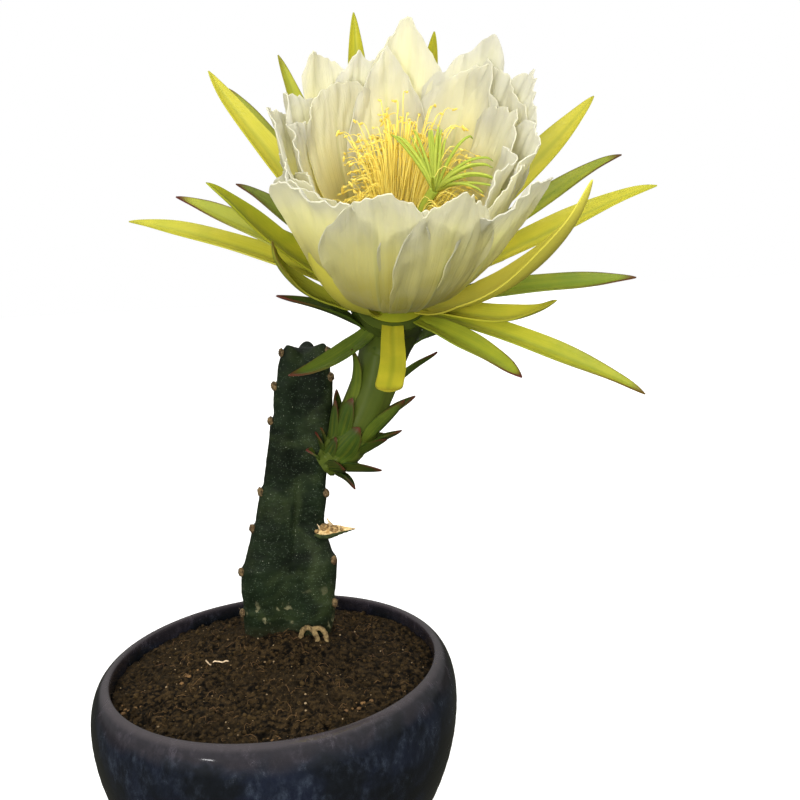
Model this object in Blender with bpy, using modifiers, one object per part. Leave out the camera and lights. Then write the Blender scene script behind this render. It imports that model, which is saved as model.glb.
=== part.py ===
"""Dragon fruit cactus in flower, standing in the soil of a glazed pot.

Metres, +Z up. The origin is the centre of the pot's flat base, and the photograph looks along +Y.
The flower has a frame of its own: OUT is its axis, az 0 faces the viewer, az 90 is to the right,
az 180 is the back and az 270 is to the left. A blade's lean is its angle from that axis.
"""
from math import cos, exp, pi, radians, sin, sqrt

import bmesh
import bpy
import numpy as np
from mathutils import Vector, noise

GAP = 0.0003                    # clearance between pieces that touch
WELD = 0.000002                 # points closer than this become one

# Pot
POT_HEIGHT = 0.145
POT_RADIUS = 0.110              # at the widest
POT_WIDEST_BELOW_LIP = 0.026
LIP_RADIUS = 0.0985
LIP_INNER_RADIUS = 0.0970
LIP_INNER_DROP = 0.0055
BELLY_CURVE = 4.4               # the belly narrows by this times the square of the drop
TAPER_BELOW_WIDEST = 0.055      # from here down the side is straight
POT_WALL = 0.010
POT_FLOOR = 0.011
POT_CORNER = 0.005
POT_STEPS = 32
INNER_HEIGHTS = np.linspace(POT_FLOOR, POT_HEIGHT - LIP_INNER_DROP, 5)

# Soil
SOIL_EDGE = POT_HEIGHT - 0.0105
SOIL_MOUND = 0.0055
SOIL_HEAP = 0.0050              # how much higher the soil is heaped round the stem
SOIL_HEAP_WIDTH = 0.036
SOIL_LUMP = 0.0030
SOIL_LUMP_SIZE = 0.016
SOIL_STEPS = 32
SOIL_RINGS = 8

# Stem: height, then the reach of the left, right and back rib from the stem's axis
STEM_FOOT_X = 0.004
STEM_Y = 0.052
STEM_LEAN = 0.125               # sideways, per metre of height above the soil
STEM_RIB_AZ = (210, 330, 90)    # degrees, anticlockwise from +X
STEM_RIBS = (
    (0.100, 0.024, 0.024, 0.020),
    (0.128, 0.029, 0.029, 0.024),
    (0.150, 0.032, 0.033, 0.026),
    (0.172, 0.036, 0.034, 0.028),
    (0.190, 0.036, 0.033, 0.028),
    (0.205, 0.0315, 0.026, 0.026),
    (0.216, 0.0295, 0.022, 0.025),
    (0.239, 0.0255, 0.0225, 0.024),
    (0.262, 0.0225, 0.023, 0.024),
    (0.284, 0.0205, 0.0235, 0.024),
    (0.306, 0.0195, 0.0220, 0.022),
    (0.318, 0.0180, 0.0200, 0.0195),
    (0.3275, 0.0150, 0.0170, 0.0165),
)
STEM_TOP = 0.3310
STEM_VALLEY = 0.56              # depth of the furrows, as a share of the ribs' reach
STEM_POINTS = 18
STEM_STEP = 0.0090
SCALLOP = 0.0016
AREOLES = (
    (0.160, 0.188, 0.2155, 0.239, 0.284, 0.306, 0.3265),
    (0.163, 0.192, 0.235, 0.3100, 0.3260),
    (0.158, 0.186, 0.215, 0.245, 0.272, 0.300, 0.3250),
)
AREOLE_RADIUS = 0.0028
SPINE_LENGTH = 0.0032

# Corky roots: points across the soil, each with its height above it
ROOT_RADIUS = 0.0016
ROOT_ARCH = (
    (0.0125, 0.0275, -0.0050),
    (0.0133, 0.0275, 0.0020),
    (0.0160, 0.0272, 0.0070),
    (0.0200, 0.0262, 0.0078),
    (0.0235, 0.0245, 0.0035),
    (0.0245, 0.0235, -0.0050),
)
ROOT_STRIP = (
    (0.0200, 0.0262, 0.0075),
    (0.0255, 0.0265, 0.0085),
    (0.0290, 0.0255, 0.0050),
    (0.0305, 0.0240, -0.0050),
)

# Dried stub: how far out along its length, then half height, half depth and rise of each section
STUB_ROOT = (0.0262, 0.0385, 0.2100)
STUB_DIRECTION = (0.965, -0.20, 0.06)
STUB_SECTIONS = (
    (0.000, 0.0052, 0.0062, 0.0000),
    (0.006, 0.0064, 0.0060, 0.0000),
    (0.014, 0.0042, 0.0048, 0.0008),
    (0.021, 0.0022, 0.0026, 0.0016),
    (0.0265, 0.0008, 0.0009, 0.0020),
)

# Flower
THROAT = np.array((0.085, 0.020, 0.363))
FLOWER_TILT = radians(42)       # towards the viewer
FLOWER_SWING = radians(6)       # to the right
TUBE_PATH = (
    (0.0340, 0.0420, 0.2535),
    (0.0440, 0.0410, 0.2605),
    (0.0535, 0.0410, 0.2740),
    (0.0635, 0.0410, 0.2920),
    (0.0715, 0.0405, 0.3100),
    (0.0780, 0.0420, 0.3280),
    (0.0825, 0.0380, 0.3425),
)
TUBE_RADII = (0.0075, 0.0115, 0.0140, 0.0140, 0.0140, 0.0155, 0.0188, 0.0228)
TUBE_TOP = -0.012               # along the flower's axis, from the throat
TUBE_POINTS = 14
TUBE_RINGS = 13
OUTER_COLLAR = (-0.0117, -0.0055, 0.0228, 0.0222)   # bottom, top, bottom radius, top radius
INNER_COLLAR = (-0.0052, 0.0010, 0.0218, 0.0205)
PETAL_COLLAR = (0.0013, 0.0090, 0.0195, 0.0175)
ROOT_SINK = 0.0030              # how deep a blade's foot stands in its collar
GOLDEN_ANGLE = 137.5

# Scales: share of the tube, az, length, lean at foot and tip, ease, width
SCALES = (
    (0.20, 300, 0.027, 32, 22, 1.0, 0.0110),
    (0.24, 326, 0.029, 28, 12, 1.0, 0.0120),
    (0.13, 352, 0.027, 22, 8, 1.0, 0.0150),
    (0.08, 318, 0.016, 40, 20, 1.0, 0.0100),
    (0.12, 272, 0.015, 52, 74, 1.0, 0.0090),
    (0.07, 285, 0.014, 62, 88, 1.0, 0.0085),
    (0.02, 300, 0.011, 88, 112, 1.0, 0.0080),
    (0.28, 48, 0.038, 20, 16, 1.0, 0.0125),
    (0.25, 86, 0.026, 34, 40, 1.0, 0.0115),
    (0.21, 62, 0.022, 32, 30, 1.0, 0.0115),
    (0.09, 52, 0.030, 38, 38, 1.0, 0.0125),
    (0.03, 72, 0.019, 45, 92, 1.0, 0.0095),
    (0.04, 20, 0.016, 46, 46, 1.0, 0.0105),
    (0.06, 120, 0.018, 34, 62, 1.0, 0.0110),
    (0.10, 170, 0.018, 34, 60, 1.0, 0.0110),
    (0.12, 222, 0.018, 32, 60, 1.0, 0.0110),
    (0.19, 128, 0.024, 30, 44, 1.0, 0.0120),
    (0.20, 190, 0.024, 30, 42, 1.0, 0.0120),
    (0.24, 243, 0.026, 28, 30, 1.0, 0.0120),
    (0.30, 150, 0.030, 22, 36, 1.0, 0.0120),
    (0.33, 210, 0.030, 22, 36, 1.0, 0.0120),
    (0.35, 105, 0.032, 22, 36, 1.0, 0.0115),
    (0.40, 312, 0.040, 12, 62, 2.0, 0.0085),
    (0.56, 75, 0.034, 26, 46, 1.0, 0.0095),
    (0.62, 190, 0.030, 20, 45, 1.0, 0.0120),
    (0.70, 250, 0.034, 26, 45, 1.0, 0.0110),
    (0.66, 338, 0.018, 10, 18, 1.0, 0.0110),
    (0.76, 100, 0.046, 50, 72, 1.0, 0.0120),
    (0.80, 150, 0.036, 35, 60, 1.0, 0.0120),
    (0.80, 292, 0.056, 62, 76, 1.0, 0.0130),
    (0.86, 215, 0.048, 45, 70, 1.0, 0.0130),
    (0.88, 85, 0.058, 62, 80, 1.0, 0.0130),
    (0.84, 316, 0.062, 126, 64, 0.7, 0.0120),
)
LONG_SCALE = 0.045              # scales longer than this have one more row of faces
# An outline: width at the foot as a share of the widest, place of the widest, roundness of the tip
POINTED = (0.55, 0.45, 2.2)
BLUNT = (0.62, 0.86, 5.0)
# Sepals: az, length, lean at foot and tip, ease, width, outline
OUTER_SEPALS = (
    (262, 0.142, 64, 92, 1.0, 0.015, POINTED),
    (236, 0.103, 68, 80, 1.0, 0.013, POINTED),
    (288, 0.084, 76, 4, 1.0, 0.015, POINTED),
    (222, 0.156, 62, 74, 1.0, 0.014, POINTED),
    (214, 0.146, 66, 46, 0.7, 0.014, POINTED),
    (152, 0.120, 66, 84, 1.0, 0.014, POINTED),
    (125, 0.157, 68, 80, 1.0, 0.014, POINTED),
    (112, 0.056, 70, 76, 1.0, 0.013, POINTED),
    (90, 0.121, 74, 78, 1.0, 0.014, POINTED),
    (64, 0.136, 76, 100, 1.0, 0.015, POINTED),
    (45, 0.080, 72, 86, 1.0, 0.014, POINTED),
    (356, 0.076, 78, 66, 1.0, 0.0145, BLUNT),
    (188, 0.110, 66, 82, 1.0, 0.014, POINTED),
)
INNER_SEPALS = (
    (258, 0.118, 64, 78, 1.0, 0.015, POINTED),
    (272, 0.112, 66, 30, 0.8, 0.017, POINTED),
    (231, 0.150, 62, 54, 1.0, 0.016, POINTED),
    (196, 0.148, 64, 26, 0.6, 0.015, POINTED),
    (172, 0.138, 64, 24, 0.6, 0.015, POINTED),
    (130, 0.150, 62, 60, 1.0, 0.018, POINTED),
    (102, 0.143, 64, 62, 1.0, 0.016, POINTED),
    (62, 0.158, 79, 14, 0.6, 0.026, POINTED),
    (320, 0.108, 77, 10, 0.6, 0.022, POINTED),
    (58, 0.094, 70, 20, 3.0, 0.014, POINTED),
)
SEPAL_CHANNEL = 0.45
# Petals: az, length, lean at foot and tip, width, phase, fall of the rim, place of its apex, and curl
OUTER_PETALS = (
    (335, 0.153, 71, 3, 0.050, 0.0, 0.05, -0.6, 44),
    (353, 0.168, 72, 4, 0.050, 1.1, 0.19, 0.2, 12),
    (17, 0.167, 72, 4, 0.048, 1.3, 0.19, 0.0, 12),
    (38, 0.154, 71, 5, 0.054, 2.9, 0.10, 0.5, 34),
    (60, 0.130, 65, 2, 0.046, 1.9, 0.10, 0.0, 10),
    (83, 0.132, 60, 4, 0.050, 3.1, 0.06, -0.3, 12),
    (107, 0.143, 60, 3, 0.046, 0.4, 0.20, 0.4, 24),
    (124, 0.133, 60, 3, 0.052, 1.0, 0.05, 0.5, 8),
    (157, 0.148, 59, 3, 0.056, 0.4, 0.26, -0.8, 4),
    (178, 0.144, 58, 4, 0.056, 2.2, 0.17, 0.1, 8),
    (198, 0.128, 58, 3, 0.050, 2.6, 0.08, 0.3, 8),
    (214, 0.138, 60, 3, 0.050, 0.9, 0.14, 0.8, 4),
    (240, 0.130, 60, 3, 0.052, 2.0, 0.22, 0.8, 12),
    (266, 0.134, 60, 3, 0.050, 3.3, 0.20, 0.4, 12),
    (294, 0.120, 64, 2, 0.050, 0.7, 0.10, 0.3, 14),
    (312, 0.127, 68, 2, 0.048, 2.4, 0.10, 0.0, 14),
)
INNER_PETALS = (
    (226, 0.116, 60, 2, 0.052, 0.5, 0.05, 0.0, 6),
    (190, 0.128, 58, 2, 0.050, 1.7, 0.20, 0.0, 8),
    (146, 0.132, 58, 4, 0.054, 2.8, 0.14, -0.4, 8),
    (106, 0.122, 60, 3, 0.050, 0.2, 0.10, 0.0, 12),
    (10, 0.112, 66, 2, 0.050, 3.0, 0.12, 0.0, 8),
    (268, 0.116, 62, 2, 0.044, 1.4, 0.10, 0.0, 12),
)
OUTER_FOOT = (0.0150, 0.0034)    # of the petals: out from the axis, and up
INNER_FOOT = (0.0120, 0.0065)
PETAL_EASE = 0.52
PETAL_SHAPE = (0.34, 1.01, 3.4)     # widest beyond the tip, so that the top is broad
PETAL_CORNER = 0.07             # how far the rim's corners are rounded off
PETAL_CHANNEL = 0.02
PETAL_RUFFLE = 0.0010
PETAL_WRAP = 0.95
PETAL_SKEW = 0.10
WRAP_RADIUS = 0.012
BLADE_THICK = 0.0008
SCALE_THICK = 0.0012
SCALE_CHANNEL = 0.40
SCALE_SHAPE = (0.8, 0.36, 1.8)

# Stamens and pistil
STAMEN_COUNT = 64
STAMEN_RADIUS = 0.00055
ANTHER_RADIUS = 0.00115
STAMEN_CORE = (0.0093, 0.0170, 0.0120, 0.0090)      # bottom, top, bottom radius, top radius
STIGMA_OUT = 0.019              # how far the style leans to the right by its top
STIGMA_UP = 0.076
STYLE_RADIUS = 0.0022
LOBE_COUNT = 14
LOBE_LENGTH = 0.034


def unit(vector):
    return vector / np.linalg.norm(vector)


OUT_RIGHT = np.array((cos(FLOWER_SWING), 0.0, -sin(FLOWER_SWING)))
OUT = np.array((sin(FLOWER_SWING) * cos(FLOWER_TILT), -sin(FLOWER_TILT), cos(FLOWER_SWING) * cos(FLOWER_TILT)))
OUT_FRONT = np.cross(OUT_RIGHT, OUT)
FLOWER = (THROAT, OUT, OUT_FRONT, OUT_RIGHT)


def clear_scene():
    for thing in list(bpy.data.objects):
        bpy.data.objects.remove(thing, do_unlink=True)


def collection(name):
    group = bpy.data.collections.new(name)
    bpy.context.scene.collection.children.link(group)
    return group


def material(name, colour, roughness, metallic=0.0):
    mat = bpy.data.materials.new(name)
    mat.use_nodes = True
    shader = mat.node_tree.nodes["Principled BSDF"]
    shader.inputs["Base Color"].default_value = (*colour, 1.0)
    shader.inputs["Roughness"].default_value = roughness
    shader.inputs["Metallic"].default_value = metallic
    return mat


def place(thing, group):
    for old in list(thing.users_collection):
        old.objects.unlink(thing)
    group.objects.link(thing)


def apply_modifiers(thing):
    bpy.ops.object.select_all(action="DESELECT")
    thing.select_set(True)
    bpy.context.view_layer.objects.active = thing
    for modifier in list(thing.modifiers):
        bpy.ops.object.modifier_apply(modifier=modifier.name)


def mesh_object(name, points, faces, group):
    mesh = bpy.data.meshes.new(name)
    mesh.from_pydata([tuple(map(float, p)) for p in points], [], faces)
    mesh.update()
    thing = bpy.data.objects.new(name, mesh)
    group.objects.link(thing)
    return thing


def loft(name, rings, group):
    """A closed skin over rings of points that all run the same way round."""
    count = len(rings[0])
    faces = [tuple(range(count - 1, -1, -1))]
    for low in range(0, (len(rings) - 1) * count, count):
        for i in range(count):
            j = (i + 1) % count
            faces.append((low + i, low + j, low + count + j, low + count + i))
    top = (len(rings) - 1) * count
    faces.append(tuple(range(top, top + count)))
    return mesh_object(name, np.concatenate(rings), faces, group)


def turned(name, profile, steps, group):
    """A solid of revolution; the profile runs from the axis out and back to it."""
    edges = [(i, i + 1) for i in range(len(profile) - 1)]
    mesh = bpy.data.meshes.new(name)
    mesh.from_pydata([(r, 0.0, z) for r, z in profile], edges, [])
    thing = bpy.data.objects.new(name, mesh)
    group.objects.link(thing)
    screw = thing.modifiers.new("Turn", "SCREW")
    screw.steps = screw.render_steps = steps
    screw.use_merge_vertices = True
    screw.merge_threshold = 0.00001
    apply_modifiers(thing)
    return thing


def fuse(core, pieces):
    """Joins the pieces of a temporary collection to the core in one union."""
    holder = collection("Pieces of " + core.name)
    for piece in pieces:
        place(piece, holder)
    union = core.modifiers.new("Union", "BOOLEAN")
    union.operation = "UNION"
    union.operand_type = "COLLECTION"
    union.collection = holder
    union.solver = "EXACT"
    apply_modifiers(core)
    for piece in pieces:
        bpy.data.objects.remove(piece, do_unlink=True)
    bpy.data.collections.remove(holder)
    return core


def shells(mesh):
    """The separate closed surfaces of a mesh, each as a list of its faces."""
    found, seen = [], set()
    for start in mesh.faces:
        if start in seen:
            continue
        seen.add(start)
        shell, reached = [], [start]
        while reached:
            face = reached.pop()
            shell.append(face)
            for edge in face.edges:
                for other in edge.link_faces:
                    if other not in seen:
                        seen.add(other)
                        reached.append(other)
        found.append(shell)
    return found


def volume(shell):
    """The volume inside a shell of triangles; a hollow's faces look inwards, so its volume is below zero."""
    total = 0.0
    for face in shell:
        a, b, c = (loop.vert.co for loop in face.loops)
        total += a.cross(b).dot(c) / 6
    return total


def fill_hollows(mesh):
    """Fills the small hollows that blades enclose where they cross, so that the piece is solid."""
    bmesh.ops.triangulate(mesh, faces=mesh.faces)
    for shell in shells(mesh):
        if volume(shell) < 0:
            bmesh.ops.delete(mesh, geom=shell, context="FACES")
    bmesh.ops.delete(mesh, geom=[vertex for vertex in mesh.verts if not vertex.link_faces], context="VERTS")


def finish(thing, mat):
    weld = bmesh.new()
    weld.from_mesh(thing.data)
    bmesh.ops.remove_doubles(weld, verts=weld.verts, dist=WELD)
    bmesh.ops.dissolve_degenerate(weld, edges=weld.edges, dist=WELD)
    if thing.name == "petals":
        fill_hollows(weld)
    bmesh.ops.delete(weld, geom=[edge for edge in weld.edges if not edge.link_faces], context="EDGES")
    weld.to_mesh(thing.data)
    weld.free()
    thing.data.materials.clear()
    thing.data.materials.append(mat)
    thing.data.set_sharp_from_angle(angle=radians(40))
    return thing


def cut(thing, cutter):
    difference = thing.modifiers.new("Cut", "BOOLEAN")
    difference.operation = "DIFFERENCE"
    difference.object = cutter
    difference.solver = "EXACT"
    apply_modifiers(thing)


def smooth_path(points, count):
    """A Catmull-Rom curve through the points, as rows of equal share."""
    points = np.asarray(points, float)
    ends = np.vstack([2 * points[0] - points[1], points, 2 * points[-1] - points[-2]])
    rows = []
    for share in np.linspace(0, len(points) - 1, count):
        k = min(int(share), len(points) - 2)
        t = share - k
        a, b, c, d = ends[k:k + 4]
        rows.append(0.5 * (2 * b + (c - a) * t + (2 * a - 5 * b + 4 * c - d) * t ** 2
                           + (3 * b - 3 * c + d - a) * t ** 3))
    return np.array(rows)


def around(frame, out, side, up, az):
    """A point in a frame: out from its axis at az, sideways, and up along the axis."""
    origin, axis, front, right = frame
    outward = front * cos(az) + right * sin(az)
    sideways = right * cos(az) - front * sin(az)
    return origin + outward * out + sideways * side + axis * up


def half_width(t, width, root, peak, tip_power):
    """Half the width of a blade at a share t of its length: a rise to the peak, then a tip."""
    if t < peak:
        share = root + (1 - root) * sin(pi / 2 * t / peak)
    else:
        share = max(0.0, 1 - ((t - peak) / (1 - peak)) ** tip_power) ** 0.75
    return width / 2 * max(share, 0.06)


def blade(frame, az, foot, length, leans, ease, width, shape, cells, thick, channel,
          wrap=0.0, skew=0.0, ruffle=(0.0, 0.0), rim=(0.0, 0.0, 0.0), curl=0.0):
    """A leaf-like blade: a grid bent along a midrib that leaves the foot (out, up) at az.

    The channel lifts its edges, wrap bends it round the frame's axis, skew turns one edge in and
    curl turns the tip out. The rim falls away from its apex and at its corners.
    """
    fall, apex, corner = rim
    root, peak, tip_power = shape
    az = radians(az)
    bpy.ops.mesh.primitive_grid_add(x_subdivisions=cells[0], y_subdivisions=cells[1], size=2)
    thing = bpy.context.object
    fine = np.linspace(0, 1, 61)
    lean = np.radians(leans[0] + (leans[1] - leans[0]) * fine ** ease + curl * fine ** 9)
    middle = (lean[1:] + lean[:-1]) / 2
    outs = foot[0] + np.concatenate([[0], np.cumsum(np.sin(middle))]) * length / 60
    ups = foot[1] + np.concatenate([[0], np.cumsum(np.cos(middle))]) * length / 60
    for vertex in thing.data.vertices:
        u, t = vertex.co.x, 1 - ((1 - vertex.co.y) / 2) ** 1.3
        share = t * (1 - fall * abs(u - apex) / (1 + abs(apex)) - corner * abs(u) ** 7)
        out, up, angle = (np.interp(share, fine, row) for row in (outs, ups, lean))
        half = half_width(t, width, root, peak, tip_power)
        lift = half * (channel * min(1.0, 4 * t) * u * u + skew * u)
        lift += ruffle[0] * t * t * sin(4.5 * u + 9 * t + ruffle[1])
        turn = wrap * u * half / max(out, WRAP_RADIUS)
        side = (1 - wrap) * u * half
        vertex.co = Vector(around(frame, out - cos(angle) * lift, side, up + sin(angle) * lift, az + turn))
    triangulate = thing.modifiers.new("Triangles", "TRIANGULATE")
    triangulate.quad_method = "FIXED"
    solid = thing.modifiers.new("Thickness", "SOLIDIFY")
    solid.thickness = thick
    solid.offset = 0.0
    apply_modifiers(thing)
    return thing


def pot_side(drop):
    """The outer radius of the pot at a drop below its widest."""
    if drop < TAPER_BELOW_WIDEST:
        return POT_RADIUS - BELLY_CURVE * drop ** 2
    slope = 2 * BELLY_CURVE * TAPER_BELOW_WIDEST
    return POT_RADIUS - BELLY_CURVE * TAPER_BELOW_WIDEST ** 2 - slope * (drop - TAPER_BELOW_WIDEST)


def pot_inner_radius(z):
    """The radius of the pot's hollow at a height."""
    drop = POT_HEIGHT - POT_WIDEST_BELOW_LIP - z
    return min(LIP_INNER_RADIUS, pot_side(max(drop, 0.0)) - POT_WALL)


def make_pot(group, mat):
    widest = POT_HEIGHT - POT_WIDEST_BELOW_LIP
    profile = [(0.0, POT_FLOOR)]
    profile += [(pot_inner_radius(z), z) for z in INNER_HEIGHTS]
    lip = POT_HEIGHT - LIP_INNER_DROP
    profile += [(LIP_INNER_RADIUS + 0.0002, lip + 0.003), (LIP_INNER_RADIUS + 0.0008, POT_HEIGHT - 0.0008)]
    for angle in np.radians(np.linspace(90, 0, 6)):
        radius = LIP_RADIUS + (POT_RADIUS - LIP_RADIUS) * cos(angle)
        profile.append((radius, widest + POT_WIDEST_BELOW_LIP * sin(angle)))
    heights = np.linspace(widest, POT_CORNER, 7)[1:]
    profile += [(pot_side(widest - z), z) for z in heights]
    foot = pot_side(widest)
    profile += [(foot - POT_CORNER * 0.15, POT_CORNER * 0.3), (foot - POT_CORNER * 0.6, 0.0), (0.0, 0.0)]
    pot = turned("pot", profile, POT_STEPS, group)
    pot.data.shade_smooth()
    return finish(pot, mat)


def soil_top(x, y):
    """The height of the soil: a low mound with lumps that fade at the wall."""
    r = sqrt(x * x + y * y)
    edge = pot_inner_radius(SOIL_EDGE)
    share = min(r / edge, 1.0)
    from_stem = sqrt((x - STEM_FOOT_X) ** 2 + (y - STEM_Y) ** 2)
    heap = SOIL_HEAP * exp(-(from_stem / SOIL_HEAP_WIDTH) ** 2)
    mound = (SOIL_MOUND + heap) * (1 - share ** 4)
    place_in_soil = Vector((x, y, 0.3)) / SOIL_LUMP_SIZE
    lumps = noise.noise(place_in_soil) + 0.5 * noise.noise(place_in_soil * 2.3)
    return SOIL_EDGE + mound + SOIL_LUMP * lumps * min(1.0, (1 - share) * 6 + 0.25)


def make_soil(group, mat):
    bottom = POT_FLOOR + GAP
    edge = pot_inner_radius(SOIL_EDGE) - GAP
    profile = [(edge * share, SOIL_EDGE) for share in np.linspace(0, 1, SOIL_RINGS + 1) ** 0.8]
    walls = [z for z in INNER_HEIGHTS[::-1] if bottom < z < SOIL_EDGE - 0.006]
    profile += [(pot_inner_radius(z) - GAP * 1.4, z) for z in walls]
    profile += [(pot_inner_radius(bottom) - GAP, bottom), (0.0, bottom)]
    soil = turned("soil", profile, SOIL_STEPS, group)
    for vertex in soil.data.vertices:
        if vertex.co.z > SOIL_EDGE - 0.0001:
            vertex.co.z = soil_top(vertex.co.x, vertex.co.y)
    return finish(soil, mat)


def stem_axis(z):
    return np.array((STEM_FOOT_X + (z - 0.15) * STEM_LEAN, STEM_Y, z))


def rib_reach(rib, z):
    """How far a rib stands out at a height, with the scallops between its areoles."""
    rows = np.array(STEM_RIBS)
    reach = np.interp(z, rows[:, 0], rows[:, rib + 1])
    marks = AREOLES[rib]
    for low, high in zip(marks[:-1], marks[1:]):
        if low <= z <= high:
            reach += SCALLOP * sin(pi * ((z - low) / (high - low)) ** 0.8)
    return reach


def stem_ring(z, shrink, grow, drop):
    """One cross-section of the stem: three ribs with rounded furrows between them."""
    ring = []
    for angle in np.linspace(0, 2 * pi, STEM_POINTS, endpoint=False) + radians(30):
        weights = [max(0.0, cos(angle - radians(a))) ** 6 for a in STEM_RIB_AZ]
        reach = sum(w * rib_reach(i, z) for i, w in enumerate(weights)) / sum(weights)
        crest = (0.5 + 0.5 * cos(3 * (angle - radians(90)))) ** 1.25
        radius = reach * (STEM_VALLEY + (1 - STEM_VALLEY) * crest) * shrink + grow
        ring.append(stem_axis(z) + np.array((cos(angle) * radius, sin(angle) * radius, -drop * (1 - crest))))
    return np.array(ring)


def stem_loft(name, group, grow):
    foot = STEM_RIBS[0][0]
    top = STEM_RIBS[-1][0]
    heights = np.linspace(foot, top, int((top - foot) / STEM_STEP))
    rings = [stem_ring(z, 1.0, grow, 0.0035 * max(0.0, (z - 0.308) / 0.012)) for z in heights]
    rings[0][:, 2] -= grow
    rings.append(stem_ring(STEM_TOP + grow, 0.80, grow, 0.0065))
    rings.append(stem_ring(STEM_TOP - 0.0015 + grow, 0.45, grow, 0.0030))
    rings.append(stem_ring(STEM_TOP - 0.0030 + grow, 0.18, grow, 0.0006))
    return loft(name, rings, group)


def make_stem(group, mat):
    stem = stem_loft("stem", group, 0.0)
    pieces = []
    for rib, marks in enumerate(AREOLES):
        for k, z in enumerate(marks):
            outward = radians(STEM_RIB_AZ[rib] + 2.0 * sin(3.0 * k + rib))
            reach = rib_reach(rib, z) - AREOLE_RADIUS * 0.35
            crest = stem_axis(z) + np.array((cos(outward) * reach, sin(outward) * reach, 0.0))
            turned_by = (0.3, 0.2 * k, outward + 0.4 * k)
            bpy.ops.mesh.primitive_ico_sphere_add(subdivisions=1, radius=AREOLE_RADIUS,
                                                  location=crest, rotation=turned_by)
            pieces.append(bpy.context.object)
            for turn in (-0.7, 0.5):
                aim = Vector((cos(outward + turn), sin(outward + turn), 0.5))
                middle = Vector(crest) + aim.normalized() * SPINE_LENGTH * 0.62
                bpy.ops.mesh.primitive_cone_add(vertices=3, radius1=0.0006, radius2=0.00015, depth=SPINE_LENGTH,
                                                location=middle, rotation=aim.to_track_quat("Z", "Y").to_euler())
                pieces.append(bpy.context.object)
    fuse(stem, pieces)
    return finish(stem, mat)


def make_stub(group, mat, cutter):
    along = unit(np.array(STUB_DIRECTION))
    deep = unit(np.cross(along, (0, 0, 1)))
    high = np.cross(deep, along)
    rings = []
    for run, tall, wide, rise in STUB_SECTIONS:
        centre = np.array(STUB_ROOT) + along * run + high * rise
        corners = ((-1.0, 0.55), (-0.35, 0.95), (0.75, 0.70), (1.0, 0.30), (0.35, -0.70), (-0.45, -1.0))
        rings.append(np.array([centre - deep * wide * a + high * tall * b for a, b in corners[::-1]]))
    stub = loft("dried_stub", rings, group)
    knobs = []
    for run, side in ((0.005, 0.001), (0.011, 0.002)):
        bpy.ops.mesh.primitive_uv_sphere_add(segments=7, ring_count=5, radius=0.0021,
                                             location=np.array(STUB_ROOT) + along * run + high * 0.0050 + deep * side)
        knobs.append(bpy.context.object)
    bpy.ops.mesh.primitive_cone_add(vertices=4, radius1=0.0018, radius2=0.0003, depth=0.008,
                                    location=np.array(STUB_ROOT) + along * 0.0075 + high * 0.0078 - deep * 0.002)
    knobs.append(bpy.context.object)
    fuse(stub, knobs)
    cut(stub, cutter)
    return finish(stub, mat)


def tube_piece(name, points, radii, sides, group):
    """A round, tapered tube along a smooth path."""
    rings = []
    for i, centre in enumerate(points):
        ahead = unit(points[min(i + 1, len(points) - 1)] - points[max(i - 1, 0)])
        right = unit(np.cross(ahead, (0.31, -0.84, 0.44)))
        front = np.cross(right, ahead)
        turns = np.linspace(0, 2 * pi, sides, endpoint=False)
        rings.append(np.array([centre + radii[i] * (right * cos(a) - front * sin(a)) for a in turns]))
    return loft(name, rings, group)


def root_solid(name, grow, group):
    """Two roots that arch out of the stem's foot, with their ends in the soil; grow widens them."""
    roots = []
    for way, sides in ((ROOT_ARCH, 9), (ROOT_STRIP, 7)):
        path = smooth_path([(x, y, soil_top(x, y) + rise) for x, y, rise in way], sides)
        path[[0, -1], 2] -= grow
        radii = np.full(sides, ROOT_RADIUS + grow)
        roots.append(tube_piece(name, path, radii, 6, group))
    return fuse(roots[0], roots[1:])


def make_root(group, mat):
    return finish(root_solid("corky_root", 0.0, group), mat)


def tube_frames(count):
    """Frames along the flower's tube, from the rib to the throat, each with its radius."""
    end = THROAT + OUT * TUBE_TOP
    centres = smooth_path(TUBE_PATH + (tuple(end),), count)
    radii = np.interp(np.linspace(0, 1, count), np.linspace(0, 1, len(TUBE_RADII)), TUBE_RADII)
    frames = []
    for i, centre in enumerate(centres):
        axis = OUT if i == count - 1 else unit(centres[i + 1] - centres[max(i - 1, 0)])
        right = unit(np.cross(axis, (0.0, -1.0, 0.0)))
        front = np.cross(right, axis)
        frames.append(((centre, axis, front, right), radii[i]))
    return frames


def frame_at(frames, share):
    return frames[min(int(round(share * (len(frames) - 1))), len(frames) - 1)]


def make_tube(group, mat, cutter):
    frames = tube_frames(TUBE_RINGS)
    turns = np.linspace(0, 2 * pi, TUBE_POINTS, endpoint=False)
    rings = [np.array([around(frame, radius, 0, 0, a) for a in turns]) for frame, radius in frames]
    tube = loft("flower_tube", rings, group)
    fine = tube_frames(61)
    scales = []
    for share, az, length, low, high, ease, width in SCALES:
        frame, radius = frame_at(fine, share)
        cells = (2, 4) if length > LONG_SCALE else (2, 3)
        scales.append(blade(frame, az, (radius - ROOT_SINK, 0.0), length + ROOT_SINK, (low, high), ease, width,
                            SCALE_SHAPE, cells, SCALE_THICK, SCALE_CHANNEL))
    fuse(tube, scales)
    cut(tube, cutter)
    return finish(tube, mat)


def collar(name, size, group):
    bottom, top, low_radius, high_radius = size
    turns = np.linspace(0, 2 * pi, 20, endpoint=False)
    rings = [np.array([around(FLOWER, radius, 0, up, a) for a in turns])
             for up, radius in ((bottom, low_radius), (top, high_radius))]
    return loft(name, rings, group)


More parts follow.
